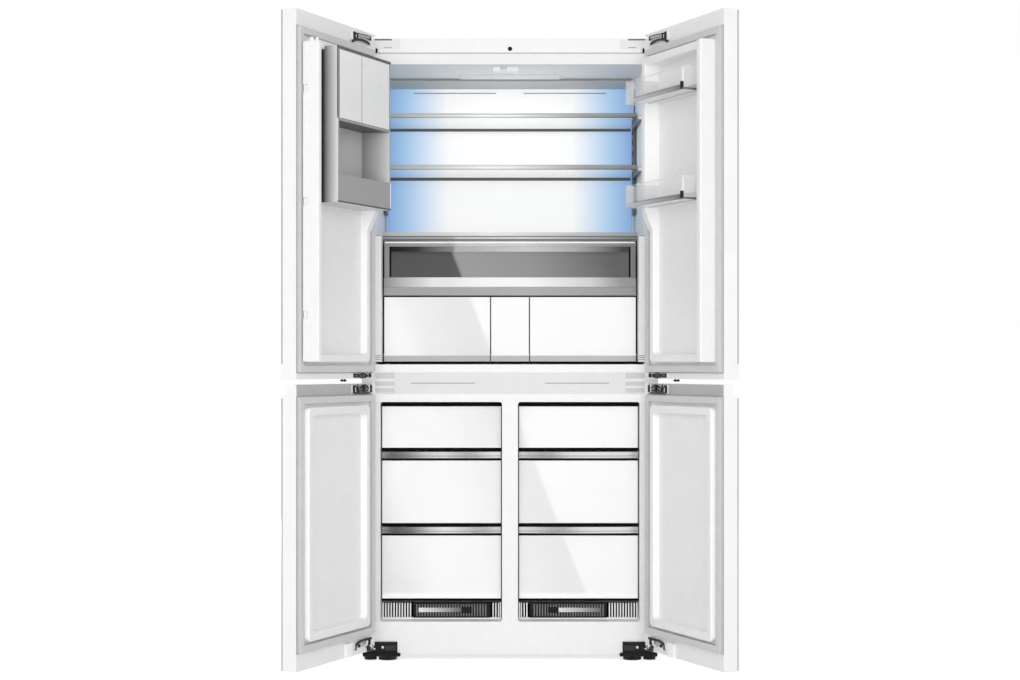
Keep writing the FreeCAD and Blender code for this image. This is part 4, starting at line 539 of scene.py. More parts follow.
def join_and_cap(made, loops):
    """Joins loops of vertices, and closes the first and the last."""
    join(made, loops)
    made.faces.new(loops[0])
    made.faces.new(loops[-1])


def slab(name, look, body, low, high, bevel=0.0003, place=CABINET):
    """A bevelled box between two corners."""
    made = bmesh.new()
    bmesh.ops.create_cube(made, size=1)
    for v in made.verts:
        v.co = Vector([a + (c + 0.5) * (b - a) for a, b, c in zip(low, high, v.co)])
    bmesh.ops.bevel(made, geom=made.edges[:], offset=bevel, segments=2, profile=0.6, affect="EDGES")
    piece(name, made, look, body, place)


def rim(name, look, body, x, depth, z, margins, place=CABINET):
    """A rectangular ring round a plate, with its widths on the left, right, below and above."""
    left, right, below, above = margins
    inner = ((x[0], z[0]), (x[1], z[0]), (x[1], z[1]), (x[0], z[1]))
    moves = ((-left, -below), (right, -below), (right, above), (-left, above))
    outer = [(a + da, b + db) for (a, b), (da, db) in zip(inner, moves)]
    near, far = depth
    made = bmesh.new()
    loops = [
        [made.verts.new((a, y, b)) for a, b in corners]
        for corners, y in ((inner, near), (outer, near), (outer, far), (inner, far))
    ]
    join(made, loops + loops[:1])
    piece(name, made, look, body, place)


def bend(start, control, end, steps=10):
    """Points on a curve that leaves and arrives towards a control point."""
    a, b, c = Vector(start), Vector(control), Vector(end)
    shares = [n / steps for n in range(steps + 1)]
    return [a * (1 - t) ** 2 + b * 2 * t * (1 - t) + c * t * t for t in shares]


def ribbon(name, look, body, points, width, depth, place):
    """A flat bar along points in the plane of a front, between two depths."""
    made = bmesh.new()
    rows = []
    points = [Vector(point) for point in points]
    for n, point in enumerate(points):
        along = (points[min(n + 1, len(points) - 1)] - points[max(n - 1, 0)]).normalized()
        side = Vector((-along.y, along.x)) * width / 2
        rows.append([
            made.verts.new((point.x + way * side.x, y, point.y + way * side.y))
            for way, y in ((-1, depth[0]), (1, depth[0]), (1, depth[1]), (-1, depth[1]))
        ])
    join_and_cap(made, rows)
    piece(name, made, look, body, place)


def turned(name, look, body, profile, centre, axis, place=CABINET, steps=32):
    """A turned piece: (radius, height) pairs round an axis from a point."""
    made = bmesh.new()
    angles = [2 * math.pi * n / steps for n in range(steps)]
    rings = [
        [made.verts.new((radius * math.cos(a), radius * math.sin(a), height)) for a in angles]
        for radius, height in profile
    ]
    join_and_cap(made, rings)
    aim = Vector(axis).to_track_quat("Z", "Y").to_matrix().to_4x4()
    made.transform(Matrix.Translation(Vector(centre)) @ aim)
    piece(name, made, look, body, place, True)


SCREW = (
    (0.0042, 0.0), (0.0042, 0.0006), (0.0036, 0.0015), (0.0024, 0.002), (0.0018, 0.002),
    (0.0014, 0.001),
)
KNOB = ((1.0, 0.0), (1.0, 0.5), (0.86, 0.8), (0.6, 0.9), (0.5, 0.75), (0.3, 0.75))
SMALL_STEPS = 24
PIN_STEPS = 20


def screw(name, look, body, centre, axis, place=CABINET):
    """A pan-head screw with a recess."""
    turned(name, look, body, SCREW, centre, axis, place, SMALL_STEPS)


def knob(name, look, body, centre, radius, height, place):
    """A round rivet head on a door's flange."""
    profile = [(radius * r, height * t) for r, t in KNOB]
    turned(name, look, body, profile, centre, (0, 1, 0), place, SMALL_STEPS)


# Cabinet front
turned("presence_sensor", BLACK, "cabinet",
       ((0.0066, 0), (0.0066, 0.0008), (0.0058, 0.0014), (0.0044, 0.0012), (0.002, 0.0017)),
       (0, 0, 1.868), (0, -1, 0))
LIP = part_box("top_strip")[0].z
LINER_REAR = 0.4295
slab("lip_line", EDGE_GREY, "cabinet",
     (-0.425, -0.0004, LIP - 0.0012), (0.425, 0.0006, LIP + 0.0012))
FRONT_PIECES = (
    ("rear_line", EDGE_GREY, (-0.318, 0.4292, 1.7975), (-0.045, 0.4301, 1.8007), FINE),
    ("beam_line", EDGE_GREY, (-0.303, 0.0004, 0.8455), (-0.107, 0.0012, 0.8478), FINE),
    ("hinge_edge", HINGE_DARK, (-0.419, -0.0036, 1.8935), (-0.361, -0.0002, 1.8968), 0.0003),
    ("hinge_shade", EDGE_GREY, (-0.385, -0.0034, 1.8705), (-0.361, -0.0002, 1.8725), 0.0003),
    ("door_switch", BLACK, (-0.412, -0.0035, 1.8555), (-0.405, 0.001, 1.869), 0.001),
    ("switch_roller", HINGE_PALE, (-0.4035, -0.0035, 1.857), (-0.397, 0.001, 1.868), 0.0015),
)
PLATE_BANDS = ((0.8608, 0.8776), (0.8379, 0.8516), (0.818, 0.8317))
for side, place in SIDES:
    for tag, look, low, high, bevel in FRONT_PIECES:
        slab(tag + "_" + side, look, "cabinet", low, high, bevel, place)
    for n, (low, high) in enumerate(PLATE_BANDS):
        slab(f"plate_band_{side}_{n}", PLATE_GREY, "cabinet",
             (-0.412, -0.0033, low), (-0.353, -0.0026, high), FINE, place)

# Ceiling and shelves of the fridge: each shelf's strip has a groove, a foot and a bar at the rear
slab("ceiling_duct", DUCT_GREY, "cabinet",
     (-0.392, 0.272, CEILING - 0.009), (0.392, LINER_REAR, CEILING), 0.002)
slab("ceiling_duct_edge", EDGE_GREY, "cabinet",
     (-0.388, 0.2705, CEILING - 0.006), (0.388, 0.2722, CEILING - 0.001))
STRIP_HALF = 0.396
STRIP_FACE = 0.112
STRIP_PROUD = STRIP_FACE - 0.0003
# The groove and foot are darker strips on each shelf's strip: painted shade
for tag, level, sink, drop in (("lower", 1.519, 0.0012, 0.0037), ("upper", 1.68, 0.0, 0.0029)):
    slab(tag + "_shelf_groove", STRIP_GROOVE, "cabinet", (-STRIP_HALF, STRIP_PROUD, level + 0.003),
         (STRIP_HALF, STRIP_FACE + 0.001, level + 0.0056), FINE)
    slab(tag + "_shelf_foot", STRIP_FOOT, "cabinet",
         (-STRIP_HALF, STRIP_PROUD, level - 0.006 - sink),
         (STRIP_HALF, STRIP_FACE + 0.002, level - 0.004 - sink), FINE)
    slab(tag + "_shelf_back", BRUSHED_DARK, "cabinet",
         (-STRIP_HALF, 0.4142, level - 0.006 - drop), (STRIP_HALF, 0.4218, level - 0.0055))
UPRIGHT_LOW, UPRIGHT_HIGH = 1.395, 1.716
SLOT_PITCH = 0.035
for side, place in SIDES:
    slab("shelf_upright_" + side, BRUSHED_DARK, "cabinet",
         (-0.4128, 0.362, UPRIGHT_LOW), (-0.402, LINER_REAR, UPRIGHT_HIGH), 0.001, place)
    # The upright's slots are black: painted shade in the holes
    for n in range(9):
        level = UPRIGHT_LOW + 0.018 + n * SLOT_PITCH
        slab(f"upright_slot_{side}_{n}", GAP_SHADE, "cabinet",
             (-0.4025, 0.385, level), (-0.4016, 0.415, level + 0.016), FINE, place)
# The cover strip's groove and lower edge are dark strips, painted shade; its band a painted
# reflection
COVER_TRIM_LOW = WIDE_HIGH.z + 0.0015
for tag, look, low, high in (
    ("groove", BRUSHED_DARK, 0.0112, 0.0138), ("band", FRAME_METAL, 0.0034, 0.0108),
    ("lip", BRUSHED_DARK, 0.0014, 0.0034), ("foot", SEAM_DARK, 0.0002, 0.0015),
):
    slab("cover_" + tag, look, "cabinet", (-0.393, WIDE_FACE - 0.0086, COVER_TRIM_LOW + low),
         (0.393, WIDE_FACE - 0.007, COVER_TRIM_LOW + high))
CHEEK_FACE = 0.004
CHEEK_LINES = (
    ("cheek_line_", "", 1.2965, 1.2992), ("cheek_foot_", "_0", 0.9175, 0.9197),
    ("cheek_foot_", "_1", 0.9235, 0.9257), ("cheek_foot_", "_2", 0.9295, 0.9317),
)
for side, place in SIDES:
    for tag, end, low, high in CHEEK_LINES:
        slab(tag + side + end, EDGE_GREY, "cabinet",
             (-0.412, CHEEK_FACE - 0.0005, low), (-0.3945, CHEEK_FACE + 0.0005, high), FINE, place)

# Drawer fronts: soft black rims and edges round them, painted shade that closes the gaps,
# black strips at the window's sides for the shade inside it, and dark strips on the rails
RIM_DEPTH = (0.002, 0.0055)
WIDE_RIM = [WIDE_FACE + y for y in RIM_DEPTH]
PLATE_LOW = 0.913
EDGE_LOW = 0.9375
EDGE_WIDTH = 0.0012
TANK_EDGE_WIDTH = 0.0008
EDGE_PROUD = WIDE_FACE - 0.0003
STRIP_BACK = WIDE_FACE + 0.001
for name, left, right in (
    ("left_crisper", 0.0032, 0.0011), ("right_crisper", 0.0011, 0.0032),
    ("water_tank", 0.0011, 0.0011),
):
    low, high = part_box(name)
    rim(name + "_rim", GAP_SHADE, name, (low.x, high.x), WIDE_RIM, (PLATE_LOW, high.z),
        (left, right, 0.007, 0.0036))
rim("wide_drawer_rim", GAP_SHADE, "wide_drawer", (WIDE_LOW.x, WIDE_HIGH.x), WIDE_RIM,
    (WIDE_LOW.z + 0.0005, WIDE_HIGH.z), (0.0032, 0.0032, 0.0002, 0.0012))
# A black strip along the wide drawer's foot is painted shade, a white one along its top a painted
# highlight
slab("wide_drawer_foot", GAP_SHADE, "wide_drawer",
     (WIDE_LOW.x + 0.0004, WIDE_FACE - 0.0004, WIDE_LOW.z),
     (WIDE_HIGH.x - 0.0004, STRIP_BACK, WIDE_LOW.z + 0.0022))
slab("wide_drawer_top", HIGHLIGHT, "wide_drawer",
     (WIDE_LOW.x + 0.004, WIDE_FACE - 0.0004, WIDE_HIGH.z - 0.0066),
     (WIDE_HIGH.x - 0.004, STRIP_BACK, WIDE_HIGH.z - 0.0022))
for side, place in SIDES:
    slab("wide_drawer_edge_" + side, GAP_SHADE, "wide_drawer", (WIDE_LOW.x, EDGE_PROUD, WIDE_LOW.z),
         (WIDE_LOW.x + EDGE_WIDTH, STRIP_BACK, WIDE_HIGH.z - 0.014), FINE, place)
    crisper = side + "_crisper"
    slab(crisper + "_edge", GAP_SHADE, crisper, (WIDE_LOW.x, EDGE_PROUD, EDGE_LOW),
         (WIDE_LOW.x + EDGE_WIDTH, STRIP_BACK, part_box(crisper)[1].z - 0.0002), FINE, place)
TANK_LOW, TANK_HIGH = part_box("water_tank")
for tag, across in (("left", TANK_LOW.x), ("right", TANK_HIGH.x - TANK_EDGE_WIDTH)):
    slab("water_tank_edge_" + tag, GAP_SHADE, "water_tank", (across, EDGE_PROUD, EDGE_LOW),
         (across + TANK_EDGE_WIDTH, STRIP_BACK, TANK_HIGH.z - 0.0002), FINE)
# Black strips at the window's sides: painted shade inside the drawer
for side, place in SIDES:
    slab("window_side_shade_" + side, GAP_SHADE, "wide_drawer",
         (WINDOW_LOW.x + 0.0002, WIDE_FACE + 0.0004, WINDOW_LOW.z + 0.0003),
         (WINDOW_LOW.x + 0.0055, WIDE_FACE + 0.0019, WINDOW_HIGH.z - 0.0003), place=place)
# A band across the window's top: painted shadow on the left, painted highlight to the right
slab("window_painted_shadow_and_highlight", WINDOW_SHADOW_AND_HIGHLIGHT, "wide_drawer",
     (WINDOW_LOW.x + 0.005, WIDE_FACE + 0.0012, WINDOW_HIGH.z - 0.016),
     (WINDOW_HIGH.x - 0.005, WIDE_FACE + 0.0022, WINDOW_HIGH.z - 0.0004), FINE)
RAIL_BOW = 0.009
BOW_STEPS = 24
STRIP_NEAR, STRIP_FAR = -0.0004, 0.0003


def bowed_strip(name, look, body, x, z):
    """A thin strip along the bowed front of a freezer drawer's rail."""
    made = bmesh.new()
    rows = []
    for n in range(BOW_STEPS + 1):
        share = n / BOW_STEPS
        depth = FREEZER_FACE - RAIL_BOW * 4 * share * (1 - share)
        at = x[0] + share * (x[1] - x[0])
        section = ((STRIP_NEAR, z[0]), (STRIP_NEAR, z[1]), (STRIP_FAR, z[1]), (STRIP_FAR, z[0]))
        rows.append([made.verts.new((at, depth + proud, level)) for proud, level in section])
    join_and_cap(made, rows)
    piece(name, made, look, body, CABINET)


for name, level in FREEZER_DRAWERS:
    low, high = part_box(name)
    railed = level != "upper"
    rail_low = high.z - RAIL_HEIGHT
    rim(name + "_rim", GAP_SHADE, name, (low.x, high.x),
        [FREEZER_FACE + 0.0005 + y for y in RIM_DEPTH],
        (low.z, rail_low - RAIL_GAP if railed else high.z),
        (0.0023, 0.0023, 0.007, 0.0055 if railed else 0.009))
    if railed:
        inner = (low.x + 0.001, high.x - 0.001)
        # Dark strips along each rail's groove and lower edge: painted shade
        bowed_strip(name + "_groove", BRUSHED_DARK, name, inner, (high.z - 0.0135, high.z - 0.012))
        bowed_strip(name + "_edge", BRUSHED_DARK, name, inner, (rail_low, rail_low + 0.002))

# Return air grilles: a black sheet behind the slats and black on their top band, painted shade,
# and a blank plate and a grip on each cassette
GRILLE_LOW, GRILLE_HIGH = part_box("return_grilles")
GRILLE_BACK = 0.0703
PLATE_END = -0.15
repaint("return_grilles", GAP_SHADE, lambda c, n: n.y < -FACING and c.z > GRILLE_HIGH.z - 0.006)
for side, place in SIDES:
    slab("grille_back_shade_" + side, GAP_SHADE, "cabinet",
         (GRILLE_LOW.x + 0.004, GRILLE_BACK, GRILLE_LOW.z + 0.004),
         (-0.031, GRILLE_BACK + 0.002, GRILLE_HIGH.z - 0.0032), place=place)
    slab("cassette_plate_" + side, BLANK_PLATE, "cabinet",
         (-0.282, CASSETTE_FACE - 0.0008, 0.139), (PLATE_END, CASSETTE_FACE + 0.0004, 0.153),
         0.0004, place)
    slab("cassette_grip_" + side, CASSETTE, "cabinet",
         (PLATE_END, CASSETTE_FACE - 0.0009, 0.137), (-0.118, CASSETTE_FACE + 0.0004, 0.155),
         0.0005, place)

# Feet
BEAD_END = -0.3405
for side, place in SIDES:
    for tag, look, low, high, bevel in (
        ("bead", FOOT_BLACK, (-0.4505, -0.009, 0.0155), (BEAD_END, 0.002, 0.0245), 0.0028),
        ("face", FOOT_GREY, (-0.381, -0.0066, 0.0315), (-0.349, -0.0055, 0.0465), 0.0005),
        ("ridge", FOOT_GREY, (-0.44, -0.0066, 0.053), (-0.346, -0.0052, 0.0552), 0.0005),
    ):
        slab(f"foot_{tag}_{side}", look, "cabinet", low, high, bevel, place)
    turned("foot_bead_end_" + side, FOOT_BLACK, "cabinet",
           ((0.003, -0.0064), (0.0054, -0.004), (0.0064, 0), (0.0054, 0.004), (0.003, 0.0064)),
           (BEAD_END, -0.003, 0.0175), (1, 0, 0), place, SMALL_STEPS)
    for n, across in enumerate((-0.4195, -0.3885)):
        screw(f"foot_screw_{side}_{n}", HINGE_PALE, "cabinet",
              (across, -0.006, 0.0405), (0, -1, 0), place)

# Hinge links on the doors' flanges, from the level of each strap: slots (u and z limits), bars and
# hooks (look, width, points) and rivets (u, z, radius)
ARM = (0.005, 0.0082)
HOOK = (-0.0002, 0.0052)
HOOK_FROM = 6
PALE_HOOK = bend((0.062, 0.009), (0.064, -0.004), (0.076, -0.01))
DARK_HOOK = bend((0.055, 0.009), (0.057, -0.004), (0.068, -0.01))
SLOTS = {
    "top": (
        (0.13, 0.141, -0.013, 0.011), (0.1165, 0.126, -0.013, 0.01), (0.04, 0.048, 0.0, 0.013),
    ),
    "above": (
        (0.131, 0.141, -0.006, 0.006), (0.121, 0.1265, -0.006, 0.006),
        (0.0385, 0.0455, -0.006, 0.006),
    ),
    "below": ((0.135, 0.145, -0.012, 0.012), (0.034, 0.042, -0.01, 0.012)),
    "bottom": ((0.043, 0.05, -0.006, 0.011), (0.126, 0.135, -0.009, 0.006)),
}
BARS = {
    "top": (
        (HINGE_DARK, 0.0065, bend((0.15, -0.02), (0.105, 0.002), (0.048, -0.0115))),
        (HINGE_STEEL, 0.006, ((0.116, 0.0045), (0.048, 0.008))),
        (HINGE_DARK, 0.003, ((0.116, 0.0085), (0.048, 0.012))),
    ),
    "above": (
        (HINGE_DARK, 0.0034, bend((0.112, 0.0), (0.088, 0.0115), (0.062, 0.0))),
        (HINGE_DARK, 0.0034, bend((0.112, -0.001), (0.088, -0.0125), (0.062, -0.001))),
    ),
    "below": (
        (HINGE_DARK, 0.005, ((0.132, 0.012), (0.126, -0.009), (0.119, 0.012), (0.112, -0.009))),
        (HINGE_DARK, 0.0034, bend((0.104, 0.003), (0.079, 0.022), (0.054, 0.003))),
        (HINGE_DARK, 0.0034, ((0.135, -0.0115), (0.047, -0.0115))),
        (HINGE_DARK, 0.003, bend((0.1, -0.002), (0.079, -0.012), (0.058, -0.002))),
    ),
    "bottom": (
        (HINGE_DARK, 0.006, bend((0.132, 0.001), (0.126, 0.0185), (0.036, 0.013))),
        (HINGE_PALE, 0.008, PALE_HOOK[:HOOK_FROM + 1]),
        (HINGE_DARK, 0.004, DARK_HOOK[:HOOK_FROM + 1]),
    ),
}
HOOKS = {
    "bottom": (
        (HINGE_PALE, 0.008, PALE_HOOK[HOOK_FROM:]), (HINGE_DARK, 0.004, DARK_HOOK[HOOK_FROM:]),
    ),
}
RIVETS = {
    "above": (0.088, -0.0005, 0.003), "below": (0.079, 0.003, 0.0078),
    "bottom": (0.108, 0.0, 0.005),
}
STRAP_LEVELS = {"top": 1.876, "above": 0.8705, "below": 0.83, "bottom": 0.068}
HINGES = {"upper": ("top", "above"), "lower": ("below", "bottom")}
for door, row, side, place in DOORS:
    body = door + "_door"
    for end in HINGES[row]:
        level = STRAP_LEVELS[end]
        tag = f"{side}_{end}_hinge"
        for n, (start, stop, low, high) in enumerate(SLOTS[end]):
            slab(f"{tag}_slot_{n}", BLACK, body,
                 (start, 0.0046, level + low), (stop, 0.008, level + high), 0.0006, place)
        for kind, depth, links in (("bar", ARM, BARS), ("hook", HOOK, HOOKS)):
            for n, (look, width, points) in enumerate(links.get(end, ())):
                line = [(u, level + rise) for u, rise in points]
                ribbon(f"{tag}_{kind}_{n}", look, body, line, width, depth, place)
        if end in RIVETS:
            u, rise, radius = RIVETS[end]
            knob(tag + "_rivet", HINGE_DARK, body, (u, 0.0048, level + rise), radius, 0.0036, place)
        if end == "bottom":
            slab(tag + "_foot", FOOT_BLACK, body,
                 (0.021, -0.0002, 0.0435), (0.053, 0.0044, 0.06), 0.0008, place)
            knob(tag + "_foot_screw", HINGE_PALE, body,
                 (0.0306, 0.004, 0.0525), 0.0045, 0.001, place)

# Door edges: the outer pane's dark edge, seal lines, stops and the lower doors' grey caps
DOOR_WIDTH = CABINET_HALF - 0.002
PANE_Z = {"upper": (0.905, 1.8985), "lower": (0.0435, 0.808)}
SEAL_Z = {"upper": (0.88, 1.852), "lower": (0.094, 0.813)}
STOP_PIN = (
    (0.0036, 0), (0.0036, 0.005), (0.0018, 0.006), (0.0018, 0.009), (0.0046, 0.011), (0.0008, 0.02),
)
for door, row, side, place in DOORS:
    body = door + "_door"
    pane_low, pane_high = PANE_Z[row]
    slab(door + "_pane_edge", EDGE_GREY, body, (DOOR_WIDTH - 0.0012, OUTER_FACE + 0.0008, pane_low),
         (DOOR_WIDTH + 0.0003, OUTER_FACE + 0.0044, pane_high), place=place)
    rim(door + "_seal_line", SEAL_LINE, body, (0.02, DOOR_WIDTH - 0.003), (-0.0002, 0.001),
        SEAL_Z[row], (0.0016, 0.002, 0.0014, 0.0014), place)
    if row == "lower":
        slab(door + "_cap", CAP_GREY, body,
             (0.024, -0.0002, 0.8138), (DOOR_WIDTH - 0.002, 0.0007, 0.8465), place=place)
        slab(door + "_stop", HIGHLIGHT, body,
             (0.153, -0.0002, 0.0435), (0.187, 0.01, 0.085), 0.002, place)
    else:
        turned(door + "_stop", HINGE_DARK, body, STOP_PIN,
               (0.186, -0.011, 0.8566), (0, 1, 0), place, PIN_STEPS)

# Upper left door: cap of the flip mullion, seams of the dispenser, and a painted highlight at its
# end
MULLION_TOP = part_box("flip_mullion")[1].z
MULLION_U = 0.4325
turned("mullion_cap", WHITE_TRIM, "flip_mullion",
       ((0.0086, 0), (0.0086, 0.004), (0.0076, 0.0075), (0.0054, 0.0105), (0.0022, 0.0132)),
       (MULLION_U, 0.04, MULLION_TOP - 0.0102), UP, LEFT_DOOR)
slab("mullion_collar", WHITE_TRIM, "flip_mullion", (MULLION_U - 0.0092, 0.022, MULLION_TOP - 0.047),
     (MULLION_U + 0.0092, 0.052, MULLION_TOP - 0.0098), 0.0016, LEFT_DOOR)
COVER_Z = [corner.z + inset for corner, inset in zip(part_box("dispenser_covers"), (0.001, -0.001))]
COVER_SPLIT = 0.248
SEAM_BACK = 0.094
slab("cover_seam", FRAME_GREY, "upper_left_door", (COVER_SPLIT - 0.0016, SEAM_BACK, COVER_Z[0]),
     (COVER_SPLIT + 0.0016, DISPENSER_FACE + 0.0004, COVER_Z[1]), place=LEFT_DOOR)
for tag, look, low, high in (
    ("top", NICHE_ROOF, (0.0765, 0.0944, 1.7925), (0.3834, 0.0953, 1.7996)),
    ("lead", SEAM_DARK, (0.3815, 0.093, 1.597), (0.3836, 0.0954, 1.7996)),
    ("foot", NICHE_ROOF, (0.0765, 0.0944, 1.3603), (0.3834, 0.0953, 1.3645)),
    ("end", HIGHLIGHT, (0.0762, 0.0944, 1.365), (0.08, 0.0953, 1.44)),
):
    slab("dispenser_" + tag + "_line", look, "upper_left_door", low, high, FINE, LEFT_DOOR)
rim("cover_bezel", NICHE_ROOF, "upper_left_door", (0.0855, 0.3735),
    (SEAM_BACK, DISPENSER_FACE + 0.0003), COVER_Z, (0.0014, 0.0014, 0.0012, 0.0014), LEFT_DOOR)

# Upper right door: noses, returns, brackets and bright edges of the bins, from the level of each
# The bins' bright edges are frosted strips: painted highlights on the clear plastic
BIN_PLAN = RIGHT_DOOR @ Matrix(((1, 0, 0, 0), (0, 0, 1, 0), (0, 1, 0, 0), (0, 0, 0, 1)))
BIN_LEVELS = {"lower": 1.369, "upper": 1.677}
BIN_FROM, BIN_TO = 0.098, 0.384
BIN_FACE = 0.097
BIN_NOSE = 0.046
NOSE_FACE = 0.0945
nose = [(BIN_FROM + 0.004, NOSE_FACE), (BIN_NOSE + 0.016, NOSE_FACE)]
nose += bend((BIN_NOSE + 0.014, NOSE_FACE), (BIN_NOSE, NOSE_FACE), (BIN_NOSE, 0.08))
nose += [(BIN_NOSE, 0.056)]
BIN_PIECES = (
    ("ledge", NOSE_CLEAR, 0.0006,
     (BIN_NOSE + 0.001, 0.0545, 0.0), (BIN_FROM + 0.002, 0.094, 0.0026)),
    ("return", BIN_METAL, 0.0008,
     (BIN_TO - 0.001, 0.012, -0.001), (BIN_TO + 0.003, BIN_FACE - 0.002, 0.005)),
    ("tip", NOSE_CLEAR, 0.0012,
     (BIN_NOSE - 0.0016, 0.07, 0.001), (BIN_NOSE + 0.006, 0.08, 0.064)),
    ("bracket", HINGE_DARK, 0.0012,
     (BIN_TO - 0.009, BIN_FACE - 0.006, 0.001), (BIN_TO + 0.001, BIN_FACE + 0.0006, 0.022)),
    ("catch", FROSTED_HIGHLIGHT, 0.0012,
     (BIN_TO - 0.006, BIN_FACE - 0.008, 0.02), (BIN_TO - 0.001, BIN_FACE - 0.002, 0.06)),
    ("rim", FROSTED_HIGHLIGHT, 0.0006,
     (BIN_FROM + 0.01, BIN_FACE - 0.007, 0.064), (BIN_TO - 0.01, BIN_FACE - 0.0042, 0.0666)),
    ("bar_edge", BRUSHED_DARK, 0.0003,
     (BIN_FROM + 0.008, BIN_FACE - 0.0012, 0.0118), (BIN_TO - 0.008, BIN_FACE + 0.0004, 0.0134)),
    ("foot_line", EDGE_GREY, 0.0003,
     (BIN_FROM + 0.006, 0.044, -0.001), (BIN_TO - 0.002, 0.0468, 0.0006)),
)
for tag, level in BIN_LEVELS.items():
    ribbon(tag + "_bin_nose", NOSE_CLEAR, "upper_right_door", nose, 0.0026,
           (level + 0.001, level + 0.066), BIN_PLAN)
    for part, look, bevel, low, high in BIN_PIECES:
        low, high = [(u, h, level + rise) for u, h, rise in (low, high)]
        slab(f"{tag}_bin_{part}", look, "upper_right_door", low, high, bevel, RIGHT_DOOR)
slab("lower_bin_bar_end", BIN_METAL, "upper_right_door",
     (BIN_NOSE + 0.006, 0.0935, 1.368), (BIN_FROM + 0.008, BIN_FACE, 1.382), 0.001, RIGHT_DOOR)

# Rear: a sheet with pressed ribs over a louvred cover, screws along their edges, and the pins of
# the mains inlet
REAR_PLANE = CABINET_BACK - FRONT
REAR_LOW, REAR_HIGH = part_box("rear_panel")
REAR_HALF = REAR_HIGH.x
SHEET = 0.0012
SHEET_INSET = 0.00105
COVER_INSET = 0.0004
SCREW_INSET = 0.0021
SCREW_EDGE = 0.014
SIDE_FROM, SIDE_PITCH = 0.3, 0.1725
TOP_PITCH, SEAM_PITCH = 0.2, 0.195
SEAM_DROP = 0.012
CORNER_Z = 0.062
SEAM_Z = 0.26
SEAM_HALF = 0.0008
SHARP_ANGLE = math.radians(35)
FLAT = 0.99
RIBS = [0.13 * n for n in range(-3, 4)]
RIB_FLAT, RIB_FOOT = 0.018, 0.0204
RIB_RISE = 0.001
RIB_LOW, RIB_HIGH = 0.36, 1.79
RIB_STEPS = (0.0, 0.25, 0.5, 0.75, 1.0)
LOUVRES = 12
LOUVRE_PITCH, LOUVRE_HEIGHT, LOUVRE_HALF = 0.014, 0.006, 0.1
LOUVRE_MIDDLES = (-0.17, 0.15)


def rib_rise(x, z):
    """How far the nearest rib stands out at a point of the rear sheet."""
    beside = min(abs(x - rib) for rib in RIBS)
    beyond = max(RIB_LOW - z, z - RIB_HIGH, 0)
    share = (RIB_FOOT - math.hypot(beside, beyond)) / (RIB_FOOT - RIB_FLAT)
    share = min(max(share, 0), 1)
    return RIB_RISE * share * share * (3 - 2 * share)


def rear_sheet(name, xs, zs, inset, rise, holes=()):
    """A thin sheet over grid lines, raised by a function and open at holes (x and z limits)."""
    made = bmesh.new()
    outer, inner = [
        [[made.verts.new((x, REAR_PLANE - inset - back + rise(x, z), z)) for x in xs] for z in zs]
        for back in (0, SHEET)
    ]
    for n in range(len(zs) - 1):
        for m in range(len(xs) - 1):
            x, z = (xs[m] + xs[m + 1]) / 2, (zs[n] + zs[n + 1]) / 2
            if any(a < x < b and c < z < d for a, b, c, d in holes):
                continue
            for layer in (outer, inner):
                corners = (layer[n][m], layer[n][m + 1], layer[n + 1][m + 1], layer[n + 1][m])
                made.faces.new(corners)
    behind = {a: b for one, other in zip(outer, inner) for a, b in zip(one, other)}
    for edge in [e for e in made.edges if e.is_boundary and e.verts[0] in behind]:
        a, b = edge.verts
        made.faces.new((a, b, behind[b], behind[a]))
    bmesh.ops.delete(made, geom=[v for v in made.verts if not v.link_faces], context="VERTS")
    obj = piece(name, made, REAR_SHEET, "cabinet", CABINET, True)
    obj.data.set_sharp_from_angle(angle=SHARP_ANGLE)
    # Slopes of the ribs and walls of the holes take a darker grey: painted shade in the creases
    obj.data.materials.append(CAP_GREY)
    for face in obj.data.polygons:
        face.material_index = int(abs(face.normal.y) < FLAT)
    return obj


slopes = [RIB_FLAT + (RIB_FOOT - RIB_FLAT) * step for step in RIB_STEPS]
columns = [-REAR_HALF, REAR_HALF] + RIBS
columns += [rib + way * away for rib in RIBS for way in (-1, 1) for away in slopes]
curve = [0.0, RIB_FLAT / 3, RIB_FLAT * 2 / 3] + slopes
levels = [SEAM_Z + SEAM_HALF, REAR_HIGH.z]
levels += [RIB_LOW - away for away in curve] + [RIB_HIGH + away for away in curve]
ribbed = rear_sheet("rear_sheet", sorted(columns), sorted(levels), SHEET_INSET, rib_rise)
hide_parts("rear_panel")
INLET_LOW, INLET_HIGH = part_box("power_inlet")
openings = [(INLET_LOW.x, INLET_HIGH.x, INLET_LOW.z, INLET_HIGH.z)]
for n in range(LOUVRES):
    low = REAR_LOW.z + LOUVRE_PITCH * (n + 1)
    openings += [
        (middle - LOUVRE_HALF, middle + LOUVRE_HALF, low, low + LOUVRE_HEIGHT)
        for middle in LOUVRE_MIDDLES
    ]
columns = sorted({-REAR_HALF, REAR_HALF}.union(*[o[:2] for o in openings]))
levels = sorted({REAR_LOW.z, SEAM_Z - SEAM_HALF}.union(*[o[2:] for o in openings]))
rear_sheet("machine_cover", columns, levels, COVER_INSET, lambda x, z: 0, openings)
edges = (SCREW_EDGE - REAR_HALF, REAR_HALF - SCREW_EDGE)
places = [(x, SIDE_FROM + SIDE_PITCH * n) for x in edges for n in range(10)]
places += [(TOP_PITCH * n, REAR_HIGH.z - SCREW_EDGE) for n in range(-2, 3)]
places += [(SEAM_PITCH * n, SEAM_Z - SEAM_DROP) for n in range(-2, 3)]
places += [(x, CORNER_Z) for x in edges]
for n, (x, z) in enumerate(places):
    screw(f"rear_screw_{n}", BRUSHED_DARK, "cabinet", (x, REAR_PLANE - SCREW_INSET, z), (0, 1, 0))
INLET_X = (INLET_LOW.x + INLET_HIGH.x) / 2
INLET_Z = (INLET_LOW.z + INLET_HIGH.z) / 2
